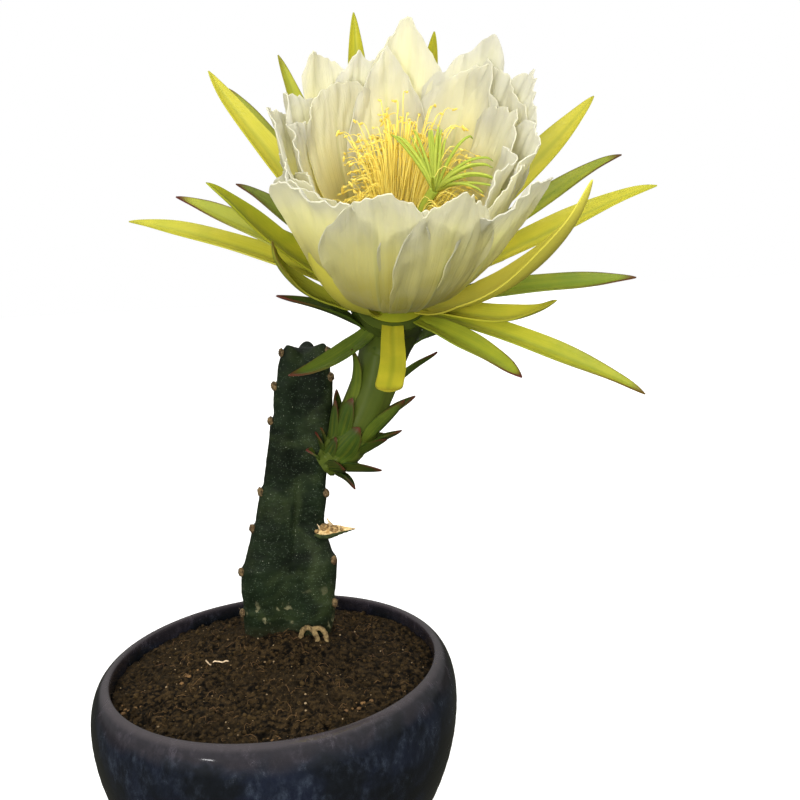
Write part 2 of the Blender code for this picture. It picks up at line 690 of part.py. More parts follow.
def make_sepals(name, size, rows, group, mat):
    core = collar(name, size, group)
    bottom, top, low_radius, high_radius = size
    foot = ((low_radius + high_radius) / 2 - ROOT_SINK, (bottom + top) / 2)
    blades = []
    for az, length, low, high, ease, width, shape in rows:
        blades.append(blade(FLOWER, az, foot, length + ROOT_SINK, (low, high), ease, width, shape, (2, 7),
                            BLADE_THICK, SEPAL_CHANNEL))
    fuse(core, blades)
    return finish(core, mat)


def make_petals(group, mat):
    core = collar("petals", PETAL_COLLAR, group)
    blades = []
    for foot, cells, rows in ((OUTER_FOOT, (3, 5), OUTER_PETALS), (INNER_FOOT, (3, 4), INNER_PETALS)):
        for az, length, low, high, width, phase, fall, apex, curl in rows:
            blades.append(blade(FLOWER, az, foot, length, (low, high), PETAL_EASE, width, PETAL_SHAPE, cells,
                                BLADE_THICK, PETAL_CHANNEL, PETAL_WRAP, PETAL_SKEW, (PETAL_RUFFLE, phase),
                                (fall, apex, PETAL_CORNER), curl))
    fuse(core, blades)
    return finish(core, mat)


def filament(n, group):
    """One stamen: a thin arched thread with a thicker anther at its end."""
    az = radians(GOLDEN_ANGLE * n)
    share = (n + 0.5) / STAMEN_COUNT
    back = 0.5 - 0.5 * cos(az)
    reach = 0.016 + 0.012 * share + 0.006 * back
    rise = 0.046 + 0.030 * back + 0.010 * sin(5.1 * n)
    start = 0.0040 + 0.0040 * share
    sway = 0.002 * sin(2.7 * n)
    foot = STAMEN_CORE[1] - ROOT_SINK
    path = smooth_path([around(FLOWER, start + reach * a, sway * b, foot + rise * b, az)
                        for a, b in ((0.0, 0.0), (0.50, 0.62), (0.92, 0.96), (1.0, 1.0))], 4)
    radii = (STAMEN_RADIUS, STAMEN_RADIUS, ANTHER_RADIUS, ANTHER_RADIUS * 0.5)
    return tube_piece("filament", path, radii, 3, group)


def make_stamens(group, mat, cutter):
    core = collar("stamens", STAMEN_CORE, group)
    fuse(core, [filament(n, group) for n in range(STAMEN_COUNT)])
    cut(core, cutter)
    return finish(core, mat)


def style_path(start):
    rise = STIGMA_UP - start
    return smooth_path([around(FLOWER, STIGMA_OUT * a, 0.0, start + rise * b, pi / 2)
                        for a, b in ((0.0, 0.0), (0.15, 0.33), (0.5, 0.67), (1.0, 1.0))], 8)


def make_pistil(group, mat):
    radii = np.linspace(STYLE_RADIUS, STYLE_RADIUS * 1.25, 8)
    style = tube_piece("pistil", style_path(PETAL_COLLAR[1] + GAP), radii, 8, group)
    top = around(FLOWER, STIGMA_OUT, 0.0, STIGMA_UP - 0.0015, pi / 2)
    hub = (top, OUT, OUT_FRONT, OUT_RIGHT)
    lobes = []
    for n in range(LOBE_COUNT):
        az = radians(GOLDEN_ANGLE * n)
        share = (n + 0.5) / LOBE_COUNT
        spread = LOBE_LENGTH * (0.25 + 0.60 * share)
        rise = LOBE_LENGTH * (0.95 - 0.55 * share)
        path = smooth_path([around(hub, 0.0008 + spread * a, 0.0, rise * b, az)
                            for a, b in ((0.0, 0.0), (0.33, 0.48), (0.68, 0.82), (1.0, 1.0))], 4)
        lobes.append(tube_piece("lobe", path, (0.0009, 0.0012, 0.0010, 0.0003), 4, group))
    fuse(style, lobes)
    return finish(style, mat)


def main():
    clear_scene()
    group = collection("Dragon fruit cactus")
    tools = collection("Cutters")
    make_pot(group, material("Glazed pot", (0.02, 0.025, 0.05), 0.12))
    soil = make_soil(group, material("Soil", (0.06, 0.035, 0.02), 0.95))
    make_stem(group, material("Stem", (0.03, 0.06, 0.03), 0.45))
    stem_room = stem_loft("stem_room", tools, GAP)
    cut(soil, stem_room)
    make_stub(group, material("Dried stub", (0.45, 0.34, 0.20), 0.85), stem_room)
    make_root(group, material("Corky root", (0.42, 0.33, 0.20), 0.9))
    root_room = root_solid("root_room", GAP, tools)
    cut(soil, root_room)
    make_tube(group, material("Flower tube", (0.18, 0.30, 0.08), 0.5), stem_room)
    make_sepals("outer_sepals", OUTER_COLLAR, OUTER_SEPALS, group, material("Outer sepals", (0.30, 0.42, 0.06), 0.45))
    make_sepals("inner_sepals", INNER_COLLAR, INNER_SEPALS, group, material("Inner sepals", (0.75, 0.72, 0.12), 0.45))
    make_petals(group, material("Petals", (0.88, 0.88, 0.80), 0.5))
    room = np.full(8, STYLE_RADIUS * 1.35 + GAP)
    style_room = tube_piece("style_room", style_path(PETAL_COLLAR[1] - 0.001), room, 8, tools)
    make_stamens(group, material("Stamens", (0.85, 0.70, 0.15), 0.6), style_room)
    make_pistil(group, material("Pistil", (0.60, 0.75, 0.12), 0.5))
    for cutter in (stem_room, root_room, style_room):
        cutter.hide_render = True
        cutter.display_type = "WIRE"


main()
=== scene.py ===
# %% [markdown]
# # A dragon fruit cactus in flower
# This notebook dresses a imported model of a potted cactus: a glazed bowl, a bed of crumbly soil, one
# three-ribbed stem and a single night flower with petals, sepals, scales, stamens and stigma.
# Every new piece is built in metres, in the model's own frame, so nothing is fitted afterwards.

from math import cos, exp, pi, radians, sin, sqrt

import bmesh
import bpy
import numpy as np
from mathutils import Matrix, Vector, noise


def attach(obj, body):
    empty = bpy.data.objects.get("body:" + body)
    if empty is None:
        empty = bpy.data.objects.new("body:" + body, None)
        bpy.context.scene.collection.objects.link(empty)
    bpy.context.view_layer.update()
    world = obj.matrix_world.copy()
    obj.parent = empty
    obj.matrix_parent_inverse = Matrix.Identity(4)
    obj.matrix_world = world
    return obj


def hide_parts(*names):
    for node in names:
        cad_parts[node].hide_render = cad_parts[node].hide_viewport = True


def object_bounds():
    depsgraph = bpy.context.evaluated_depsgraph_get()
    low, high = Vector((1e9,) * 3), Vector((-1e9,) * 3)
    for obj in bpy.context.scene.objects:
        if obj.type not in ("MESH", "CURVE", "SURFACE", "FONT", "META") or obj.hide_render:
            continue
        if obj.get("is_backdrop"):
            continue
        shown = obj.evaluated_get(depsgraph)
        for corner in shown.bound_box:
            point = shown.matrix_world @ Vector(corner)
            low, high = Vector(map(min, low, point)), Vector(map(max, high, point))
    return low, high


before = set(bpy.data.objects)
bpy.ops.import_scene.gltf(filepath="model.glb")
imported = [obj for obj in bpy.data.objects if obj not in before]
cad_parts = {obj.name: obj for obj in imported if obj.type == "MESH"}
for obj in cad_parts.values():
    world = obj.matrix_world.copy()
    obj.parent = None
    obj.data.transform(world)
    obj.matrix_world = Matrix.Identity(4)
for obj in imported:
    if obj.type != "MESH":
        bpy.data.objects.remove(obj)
cad_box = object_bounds()
bpy.ops.object.select_all(action="DESELECT")
print("nodes in the frame:", ", ".join(sorted(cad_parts)))

# %% [markdown]
# ## The camera
# The photograph was taken from about the height of the flower's foot, looking a little down into the
# pot, with the camera tipped slightly to one side. A camera can be aimed with a tracking constraint,
# but a roll is easier to give as an angle, so its turning matrix is written out from a pitch and a roll.

# %% Camera
PICTURE = 800                   # pixels along each side of the photograph
FOCAL_PIXELS = 900
SENSOR = 36.0
CAMERA_PLACE = Vector((0.0851, -0.519, 0.386))
PITCH = radians(9.44)           # downwards
ROLL = radians(-3.17)

camera = bpy.data.cameras.new("camera")
camera.sensor_width = SENSOR
camera.lens = FOCAL_PIXELS / PICTURE * SENSOR
camera.clip_start = 0.01
viewer = bpy.data.objects.new("camera", camera)
bpy.context.scene.collection.objects.link(viewer)
level = Matrix.Rotation(pi / 2 - PITCH, 4, "X")
viewer.matrix_world = Matrix.Translation(CAMERA_PLACE) @ level @ Matrix.Rotation(ROLL, 4, "Z")
bpy.context.scene.camera = viewer
print("lens", round(camera.lens, 1), "mm")

# %% [markdown]
# ## Helpers for nodes
# A material, and the sky too, is a small graph of nodes. Writing each node as one call, with its inputs
# as a dictionary, keeps the graphs short enough to read beside the piece that they colour. The helpers
# that follow are the strokes that come back: a mask, a wash of colour, a ramp, some relief.

# %% Node helpers


def paint(red, green, blue):
    """A colour as a painter reads it from a screen, 0 to 255, turned into Blender's linear light."""
    linear = [((c / 255 + 0.055) / 1.055) ** 2.4 if c > 10 else c / 255 / 12.92 for c in (red, green, blue)]
    return (*linear, 1.0)


def plug(tree, node, inputs):
    """Fills a node's inputs, each with a value or with another node's output."""
    for key, value in inputs.items():
        if isinstance(value, bpy.types.NodeSocket):
            tree.links.new(value, node.inputs[key])
        else:
            node.inputs[key].default_value = value
    return node


def add(tree, kind, inputs=None, **settings):
    """Adds a node with its settings and its inputs."""
    node = tree.nodes.new("ShaderNode" + kind)
    for key, value in settings.items():
        setattr(node, key, value)
    return plug(tree, node, inputs or {})


def calc(tree, operation, one, two=0.0, clamp=False):
    """A sum of two numbers, by the name of the operation."""
    return add(tree, "Math", {0: one, 1: two}, operation=operation, use_clamp=clamp).outputs[0]


def times(tree, one, two):
    """Two numbers multiplied."""
    return calc(tree, "MULTIPLY", one, two)


def span(tree, value, low, high, start=0.0, end=1.0):
    """A value's way from low to high, as start to end with soft ends."""
    inputs = {"Value": value, "From Min": low, "From Max": high, "To Min": start, "To Max": end}
    return add(tree, "MapRange", inputs, interpolation_type="SMOOTHSTEP").outputs["Result"]


def mixed(tree, factor, one, two):
    """Two colours mixed by a factor."""
    return add(tree, "Mix", {0: factor, 6: one, 7: two}, data_type="RGBA").outputs[2]


def wash(tree, under, mask, share, over):
    """A colour with another laid over it where the mask says, as strong as the share."""
    return mixed(tree, times(tree, mask, share), under, over)


def ramp(tree, factor, stops):
    """A colour ramp; stops are pairs of place and colour."""
    node = add(tree, "ValToRGB", {"Fac": factor})
    bands = node.color_ramp.elements
    while len(bands) < len(stops):
        bands.new(0.5)
    for band, (place, colour) in zip(bands, stops):
        band.position = place
        band.color = colour
    return node.outputs["Color"]


def parts_of(tree, vector):
    """The three numbers of a vector, by letter."""
    return add(tree, "SeparateXYZ", {"Vector": vector}).outputs


def mark_of(tree):
    """The three numbers of the mark that each copy in a piece carries, by letter."""
    return parts_of(tree, add(tree, "Attribute", attribute_name="mark").outputs["Vector"])


def outer_side(tree):
    """1 on the outer face of a blade and 0 on its inner face."""
    return add(tree, "Attribute", attribute_name="outer").outputs["Fac"]


def object_place(tree):
    """A point's place on its piece, in metres."""
    return add(tree, "TexCoord").outputs["Object"]


def map_shares(tree):
    """The two shares of the UV map: across a blade or round a tube, and along it."""
    shares = parts_of(tree, add(tree, "UVMap", uv_map="UVMap").outputs["UV"])
    return shares["X"], shares["Y"]


def from_midrib(tree, across):
    """How far a point lies from the midrib: 0 on it and 0.5 at the margin."""
    return calc(tree, "ABSOLUTE", calc(tree, "SUBTRACT", across, 0.5))


def stretched(tree, vector, by):
    """A vector multiplied by another, number by number."""
    return add(tree, "VectorMath", {0: vector, 1: by}, operation="MULTIPLY").outputs[0]


def noise_map(tree, vector, scale, detail, roughness=0.5):
    """A cloudy value from 0 to 1, with lumps about 1 / scale wide."""
    inputs = {"Vector": vector, "Scale": scale, "Detail": detail, "Roughness": roughness}
    return add(tree, "TexNoise", inputs).outputs["Fac"]


def roughen(tree, shader, height, strength, distance):
    """Gives a surface relief from a height, and hands back the bent normal."""
    bump = add(tree, "Bump", {"Height": height, "Strength": strength, "Distance": distance})
    plug(tree, shader, {"Normal": bump.outputs["Normal"]})
    return bump.outputs["Normal"]


def let_through(tree, shader, glow, share):
    """Mixes in a translucent shader, as light shines through a thin leaf."""
    behind = add(tree, "BsdfTranslucent", glow)
    blend = add(tree, "MixShader", {0: share, 1: shader.outputs[0], 2: behind.outputs[0]})
    plug(tree, tree.nodes["Material Output"], {"Surface": blend.outputs[0]})


def new_material(name):
    """An empty material with a Principled shader: returns the material, its tree and the shader."""
    mat = bpy.data.materials.new(name)
    mat.use_nodes = True
    return mat, mat.node_tree, mat.node_tree.nodes["Principled BSDF"]


print("a mid grey in linear light:", round(paint(128, 128, 128)[0], 3))

# %% [markdown]
# ## Soft light and a pale floor
# Petals glow because light passes through them, so a broad sun stands behind the flower, on the left.
# One large lamp could light the front, but it would either leave the cup dark or flatten it. Three soft
# boxes share the work: a weak one high on the left, a low one that shines into the cup, and one that
# brushes its right rim. They and the sun are hidden from reflections, where a single small lamp leaves
# the glint on the glaze. The sky is bright, but dim in mirrors, and the floor is a plain sheet.

# %% Lamps
SUN_FROM = (-0.40, 0.34, 0.85)
SUN_STRENGTH = 1.75
SUN_WIDTH = radians(24)
SUN_COLOUR = (1.0, 0.98, 0.93)
# Soft boxes: name, place, aim, size, watts, colour
SOFT_BOXES = (
    ("front fill", (-0.9, -1.3, 0.9), (0.06, 0.0, 0.35), (0.9, 0.9), 3.0, (0.93, 0.96, 1.0)),
    ("cup fill", (-0.10, -1.10, 0.40), (0.09, -0.04, 0.44), (0.6, 0.6), 14.5, (0.99, 0.99, 1.0)),
    ("rim fill", (0.55, -0.80, 0.85), (0.07, 0.0, 0.46), (0.5, 0.5), 5.5, (1.0, 0.99, 0.95)),
)
GLINT = ("glint", (-0.9, -1.3, 0.9), (0.0, -0.1, 0.14), (0.16, 0.05), 0.35, (1.0, 1.0, 1.0))


def lamp(name, place, aim, size, watts, colour):
    """A soft box, turned so that it shines at the aim."""
    light = bpy.data.lights.new(name, "AREA")
    light.shape = "RECTANGLE"
    light.size, light.size_y = size
    light.energy = watts
    light.color = colour
    holder = bpy.data.objects.new(name, light)
    bpy.context.scene.collection.objects.link(holder)
    holder.location = place
    holder.rotation_euler = (Vector(aim) - Vector(place)).to_track_quat("-Z", "Y").to_euler()
    return holder


def make_sun():
    """A sun with a wide disc, whose shadows have soft edges."""
    light = bpy.data.lights.new("sun", "SUN")
    light.energy = SUN_STRENGTH
    light.angle = SUN_WIDTH
    light.color = SUN_COLOUR
    holder = bpy.data.objects.new("sun", light)
    bpy.context.scene.collection.objects.link(holder)
    holder.rotation_euler = Vector(SUN_FROM).to_track_quat("Z", "Y").to_euler()
    return holder


for hidden in (make_sun(), *(lamp(*row) for row in SOFT_BOXES)):
    hidden.visible_glossy = False
lamp(*GLINT)

# %% Sky and floor
ZENITH = (1.0, 1.0, 0.98, 1.0)
HORIZON = (0.42, 0.42, 0.41, 1.0)
GROUND = (0.10, 0.10, 0.08, 1.0)
SKY_STRENGTH = 1.5
MIRRORED_SKY = 0.42             # strength of the sky in reflections
FLOOR_SIZE = 14.0
FLOOR_PAPER = (0.9, 0.9, 0.9, 1.0)


def make_sky():
    """A sky, bright above and dim below and in mirrors, that the camera itself sees as plain white."""
    world = bpy.data.worlds.new("sky")
    world.use_nodes = True
    tree = world.node_tree
    ray = add(tree, "LightPath").outputs
    strengths = {"Value": ray["Is Glossy Ray"], "To Min": SKY_STRENGTH, "To Max": MIRRORED_SKY}
    strength = add(tree, "MapRange", strengths).outputs[0]
    height = parts_of(tree, add(tree, "TexCoord").outputs["Generated"])["Z"]
    rise = add(tree, "MapRange", {"Value": height, "From Min": -1.0}).outputs[0]
    colour = ramp(tree, rise, ((0.46, GROUND), (0.54, HORIZON), (1.0, ZENITH)))
    light = plug(tree, tree.nodes["Background"], {"Color": colour, "Strength": strength})
    white = add(tree, "Background", {"Color": (1.0, 1.0, 1.0, 1.0)})
    blend = add(tree, "MixShader", {0: ray["Is Camera Ray"], 1: light.outputs[0], 2: white.outputs[0]})
    plug(tree, tree.nodes["World Output"], {"Surface": blend.outputs[0]})
    return world


def make_floor():
    """A plain sheet that takes no part in the light that falls on the plant."""
    bpy.ops.mesh.primitive_plane_add(size=FLOOR_SIZE, location=(0, 0, 0))
    floor = bpy.context.object
    floor.name = "floor"
    paper, tree, shader = new_material("paper")
    plug(tree, shader, {"Base Color": FLOOR_PAPER, "Roughness": 1.0, "Specular IOR Level": 0.0})
    floor.data.materials.append(paper)
    floor.visible_diffuse = False
    floor.visible_glossy = False
    floor.visible_transmission = False
    return floor


bpy.context.scene.world = make_sky()
bpy.context.scene.view_settings.view_transform = "Standard"
make_floor()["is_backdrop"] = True
print("sky strength", SKY_STRENGTH, "and in mirrors", MIRRORED_SKY)

# %% [markdown]
# ## Shared effects
# Three effects come back on many pieces: the fine lengthwise veins of leaves and petals, cloudy
# changes of tone, and small pale specks of dust and scars. Their nodes could be laid out again in every
# material, but a node group with named inputs is built once and placed with other values each time. The
# veins follow a piece's UV map, so that they run along every blade however it bends.

# %% Node groups


def new_group(name, takes, gives):
    """An empty node group with named inputs and outputs: returns the group and its two end nodes."""
    group = bpy.data.node_groups.new(name, "ShaderNodeTree")
    for label, value in takes.items():
        socket = group.interface.new_socket(name=label, in_out="INPUT", socket_type="NodeSocketFloat")
        socket.default_value = value
    group.interface.new_socket(name=gives, in_out="OUTPUT", socket_type="NodeSocketFloat")
    return group, group.nodes.new("NodeGroupInput").outputs, group.nodes.new("NodeGroupOutput")


def veins_group():
    """Fine lines along a blade, with a slow waver."""
    group, takes, gives = new_group("veins", {"Across": 40.0, "Along": 1.5, "Waver": 0.05}, "Height")
    uv = add(group, "UVMap", uv_map="UVMap").outputs["UV"]
    drift = add(group, "TexNoise", {"Vector": uv, "Scale": 3.0, "Detail": 2.0}).outputs["Color"]
    shifted = add(group, "VectorMath", {0: drift, 1: (0.5, 0.5, 0.5)}, operation="SUBTRACT").outputs[0]
    small = add(group, "VectorMath", {0: shifted, "Scale": takes["Waver"]}, operation="SCALE").outputs[0]
    bent = add(group, "VectorMath", {0: uv, 1: small}, operation="ADD").outputs[0]
    size = add(group, "CombineXYZ", {"X": takes["Across"], "Y": takes["Along"], "Z": 1.0}).outputs[0]
    plug(group, gives, {"Height": noise_map(group, stretched(group, bent, size), 1.0, 3.0, 0.6)})
    return group


def clouds_group():
    """Soft patches of a given size, on the piece's own place."""
    defaults = {"Size": 20.0, "Detail": 4.0, "Low": 0.35, "High": 0.65}
    group, takes, gives = new_group("clouds", defaults, "Mask")
    inputs = {"Vector": object_place(group), "Scale": takes["Size"], "Detail": takes["Detail"]}
    cloud = add(group, "TexNoise", {**inputs, "Roughness": 0.55, "Distortion": 0.4}).outputs["Fac"]
    plug(group, gives, {"Mask": span(group, cloud, takes["Low"], takes["High"])})
    return group


def specks_group():
    """Small round dots; a higher value of Sparse leaves out more of them."""
    group, takes, gives = new_group("specks", {"Size": 400.0, "Radius": 0.25, "Sparse": 0.6}, "Mask")
    cell = add(group, "TexVoronoi", {"Vector": object_place(group), "Scale": takes["Size"]})
    dot = calc(group, "LESS_THAN", cell.outputs["Distance"], takes["Radius"])
    chosen = calc(group, "GREATER_THAN", parts_of(group, cell.outputs["Color"])["X"], takes["Sparse"])
    plug(group, gives, {"Mask": times(group, dot, chosen)})
    return group


VEINS = veins_group()
CLOUDS = clouds_group()
SPECKS = specks_group()


def use(tree, group, inputs):
    """Places a node group in a material, and hands back what it puts out."""
    node = tree.nodes.new("ShaderNodeGroup")
    node.node_tree = group
    return plug(tree, node, inputs).outputs[0]


def vein_height(tree, across, along, waver):
    """Veins, so many across a blade and so many along it."""
    return use(tree, VEINS, {"Across": across, "Along": along, "Waver": waver})


def cloud_mask(tree, size, detail, low, high):
    """Clouds, clear below low and full above high."""
    return use(tree, CLOUDS, {"Size": size, "Detail": detail, "Low": low, "High": high})


def speck_mask(tree, size, radius, sparse):
    """Dots of a radius in cells 1 / size wide, of which the share called sparse stays empty."""
    return use(tree, SPECKS, {"Size": size, "Radius": radius, "Sparse": sparse})


print("node groups:", ", ".join(g.name for g in bpy.data.node_groups))

# %% [markdown]
# ## Helpers for meshes
# Almost everything on a plant is either a thin sheet, such as a petal, or a long skin, such as a stem.
# Each could be sculpted alone, but then no two would match. Both start here as one grid primitive. Its
# points are moved by a formula, and where there are many blades of a kind the grid is copied once for
# each, with its own points. Rough little grains start as a sphere in the same way.

# %% Mesh helpers
ASKEW = (0.31, -0.84, 0.44)     # a direction that no tube of this plant follows
SMOOTH_BELOW = radians(60)


def deselect():
    bpy.ops.object.select_all(action="DESELECT")


def only(thing):
    """Makes one object the selected and active one."""
    deselect()
    thing.select_set(True)
    bpy.context.view_layer.objects.active = thing


def points_of(thing):
    points = np.empty(len(thing.data.vertices) * 3, np.float32)
    thing.data.vertices.foreach_get("co", points)
    return points.reshape(-1, 3).astype(float)


def set_points(thing, points):
    thing.data.vertices.foreach_set("co", np.asarray(points, np.float32).ravel())
    thing.data.update()


def grid(across, along):
    """A flat grid, two units wide, whose UV map runs from 0 to 1 both ways."""
    deselect()
    bpy.ops.mesh.primitive_grid_add(x_subdivisions=across, y_subdivisions=along, size=2)
    return bpy.context.object


def sphere(subdivisions):
    """A ball of triangles, two units across with a UV map: returns it and its points."""
    deselect()
    bpy.ops.mesh.primitive_ico_sphere_add(subdivisions=subdivisions, radius=1.0, calc_uvs=True)
    return bpy.context.object, points_of(bpy.context.object)


def copies(name, template, shapes, marks):
    """One object of many copies of a template's faces, each with its own points and its own mark."""
    mesh = template.data
    corners = np.empty(len(mesh.loops), np.int32)
    mesh.loops.foreach_get("vertex_index", corners)
    starts = np.empty(len(mesh.polygons), np.int32)
    mesh.polygons.foreach_get("loop_start", starts)
    uv = np.empty(len(mesh.loops) * 2, np.float32)
    mesh.uv_layers[0].data.foreach_get("uv", uv)
    many, count = len(shapes), len(mesh.vertices)
    nth = np.arange(many, dtype=np.int32)[:, None]
    made = bpy.data.meshes.new(name)
    made.vertices.add(count * many)
    made.vertices.foreach_set("co", np.concatenate(shapes).astype(np.float32).ravel())
    made.loops.add(len(corners) * many)
    made.loops.foreach_set("vertex_index", (corners + count * nth).ravel())
    made.polygons.add(len(starts) * many)
    made.polygons.foreach_set("loop_start", (starts + len(corners) * nth).ravel())
    made.update(calc_edges=True)
    made.uv_layers.new(name="UVMap").data.foreach_set("uv", np.tile(uv, many))
    mark = made.attributes.new("mark", "FLOAT_VECTOR", "POINT")
    mark.data.foreach_set("vector", np.repeat(np.asarray(marks, np.float32), count, axis=0).ravel())
    thing = bpy.data.objects.new(name, made)
    bpy.context.scene.collection.objects.link(thing)
    bpy.data.objects.remove(template, do_unlink=True)
    return thing


def merge(thing, distance=1e-6):
    """Joins points that lie on each other, which closes seams and poles."""
    mesh = bmesh.new()
    mesh.from_mesh(thing.data)
    bmesh.ops.remove_doubles(mesh, verts=mesh.verts, dist=distance)
    bmesh.ops.dissolve_degenerate(mesh, edges=mesh.edges, dist=distance / 2)
    bmesh.ops.recalc_face_normals(mesh, faces=mesh.faces)
    mesh.to_mesh(thing.data)
    mesh.free()
    return thing


def thicken(thing, thickness):
    """Gives a sheet two faces, and marks the outer one with 1 in the attribute called outer."""
    count = len(thing.data.vertices)
    solid = thing.modifiers.new("Thickness", "SOLIDIFY")
    solid.thickness = thickness
    solid.offset = 0.0
    only(thing)
    bpy.ops.object.modifier_apply(modifier=solid.name)
    outer = thing.data.attributes.new("outer", "FLOAT", "POINT")
    outer.data.foreach_set("value", (np.arange(len(thing.data.vertices)) < count).astype(np.float32))
    return thing


def dress(thing, mat, nodes=()):
    """Finishes a piece: smooth shading, its material, and its place in the model."""
    only(thing)
    bpy.ops.object.shade_smooth_by_angle(angle=SMOOTH_BELOW)
    thing.data.materials.clear()
    thing.data.materials.append(mat)
    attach(thing, "root")
    if nodes:
        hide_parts(*nodes)
    thing.data.calc_loop_triangles()
    print(thing.name, "has", len(thing.data.loop_triangles), "triangles")
    deselect()
    return thing


def smooth_path(points, count):
    """A Catmull-Rom curve through the points, as rows of equal share."""
    points = np.asarray(points, float)
    ends = np.vstack([2 * points[0] - points[1], points, 2 * points[-1] - points[-2]])
    share = np.linspace(0, len(points) - 1, count)
    k = np.minimum(share.astype(int), len(points) - 2)
    t = (share - k)[:, None]
    a, b, c, d = ends[k], ends[k + 1], ends[k + 2], ends[k + 3]
    square, cube = 2 * a - 5 * b + 4 * c - d, 3 * b - 3 * c + d - a
    return 0.5 * (2 * b + (c - a) * t + square * t ** 2 + cube * t ** 3)


def smooth(value, low, high):
    """0 below low, 1 above high, and an S-shaped rise between."""
    share = np.clip((value - low) / (high - low), 0, 1)
    return share * share * (3 - 2 * share)


def unit(vector):
    """The vector at a length of one."""
    return vector / np.linalg.norm(vector)


def closed_ends(along, steep=1e6):
    """0 at both ends of a tube and 1 between them, which draws each end together to a point."""
    return np.clip(np.minimum(along, 1 - along) * steep, 0, 1)


def read_rows(table, rows, along):
    """The three columns of a table, read between its rows at each share along."""
    return np.stack([np.interp(along, rows, table[:, i]) for i in range(3)], axis=1)


def pipe(centres, radii):
    """A formula for the skin of a tube: around is an angle, along is a share of the centre line."""
    rows = np.linspace(0, 1, len(centres))
    ahead = np.gradient(centres, axis=0)
    ahead /= np.linalg.norm(ahead, axis=1)[:, None]
    right = np.cross(ahead, ASKEW)
    right /= np.linalg.norm(right, axis=1)[:, None]
    front = np.cross(right, ahead)

    def skin(around, along, swell=0.0):
        radius = (np.interp(along, rows, radii) + swell) * closed_ends(along)
        turned = read_rows(right, rows, along) * np.cos(around)[:, None]
        turned -= read_rows(front, rows, along) * np.sin(around)[:, None]
        return read_rows(centres, rows, along) + radius[:, None] * turned
    return skin


def skin_grid(around, along):
    """A grid to be wrapped into a tube, with the angle and the share along it of each point."""
    template = grid(around, along)
    flat = points_of(template)
    return template, flat[:, 0] * pi, (flat[:, 1] + 1) / 2


def bumps(points, size, seed=0.0):
    """Smooth noise from -1 to 1 at each point, with lumps about as wide as size."""
    return np.array([noise.noise(Vector(p) / size + Vector((seed, 0, 0))) for p in points])


print("a soft step is at", smooth(0.25, 0.0, 1.0), "when a quarter of its way is done")

# %% [markdown]
# ## The pot
# The real pot was thrown on a wheel, so it is a profile turned round an axis: a thin rolled lip, a
# full shoulder and a side that tapers to the foot. The profile could be a curve with a Screw modifier;
# here its outline is spun in edit mode, as a potter's ribs would shape it. Faint throwing rings are
# added to the outline, and the photograph cuts off the foot, so that is finished plainly.

# %% Pot
POT_HEIGHT = 0.145
POT_RADIUS = 0.110
WIDEST_BELOW_LIP = 0.026
LIP_RADIUS = 0.0985
LIP_INNER_RADIUS = 0.0970
LIP_INNER_DROP = 0.0055
BELLY_CURVE = 4.4
TAPER_BELOW_WIDEST = 0.055
POT_WALL = 0.010
POT_FLOOR = 0.011
POT_TURNS = 144
THROWING_RING = 0.00010
RING_RATE = 1500                # radians of the throwing rings' wave in each metre of height
POT_CORNER = 0.004              # how far the inside's floor and wall stay from their corner
FOOT_TOP = 0.0055
LIP_ROLL = ((0.0001, 0.0030), (0.0004, 0.0012), (0.0010, 0.0003))      # out from the inside, below the top
FOOT_ROLL = ((0.0004, 0.0028), (0.0014, 0.0009), (0.0032, 0.0))        # in from the side, above the table


def pot_side(drop):
    """The outer radius of the pot at a drop below its widest."""
    if drop < TAPER_BELOW_WIDEST:
        return POT_RADIUS - BELLY_CURVE * drop ** 2
    slope = 2 * BELLY_CURVE * TAPER_BELOW_WIDEST
    return POT_RADIUS - BELLY_CURVE * TAPER_BELOW_WIDEST ** 2 - slope * (drop - TAPER_BELOW_WIDEST)


def pot_inner_radius(z):
    drop = POT_HEIGHT - WIDEST_BELOW_LIP - z
    return min(LIP_INNER_RADIUS, pot_side(max(drop, 0.0)) - POT_WALL)


def pot_profile():
    """Points from the middle of the inside floor, over the lip, to the middle of the foot."""
    widest = POT_HEIGHT - WIDEST_BELOW_LIP
    bottom = [(r, POT_FLOOR) for r in np.linspace(0.0, pot_inner_radius(POT_FLOOR) - POT_CORNER, 6)]
    heights = np.linspace(POT_FLOOR + POT_CORNER, POT_HEIGHT - LIP_INNER_DROP, 24)
    inside = [(pot_inner_radius(z), z) for z in heights]
    lip = [(LIP_INNER_RADIUS + out, POT_HEIGHT - down) for out, down in LIP_ROLL]
    shoulder = []
    for angle in np.radians(np.linspace(88, 0, 22)):
        radius = LIP_RADIUS + (POT_RADIUS - LIP_RADIUS) * cos(angle)
        shoulder.append((radius, widest + WIDEST_BELOW_LIP * sin(angle)))
    side = []
    for z in np.linspace(widest - 0.002, FOOT_TOP, 46):
        side.append((pot_side(widest - z) + THROWING_RING * sin(z * RING_RATE), z))
    foot = pot_side(widest)
    base = [(foot - inward, z) for inward, z in FOOT_ROLL] + [(foot * 0.5, 0.0), (0.0, 0.0)]
    return bottom + inside + lip + shoulder + side + base


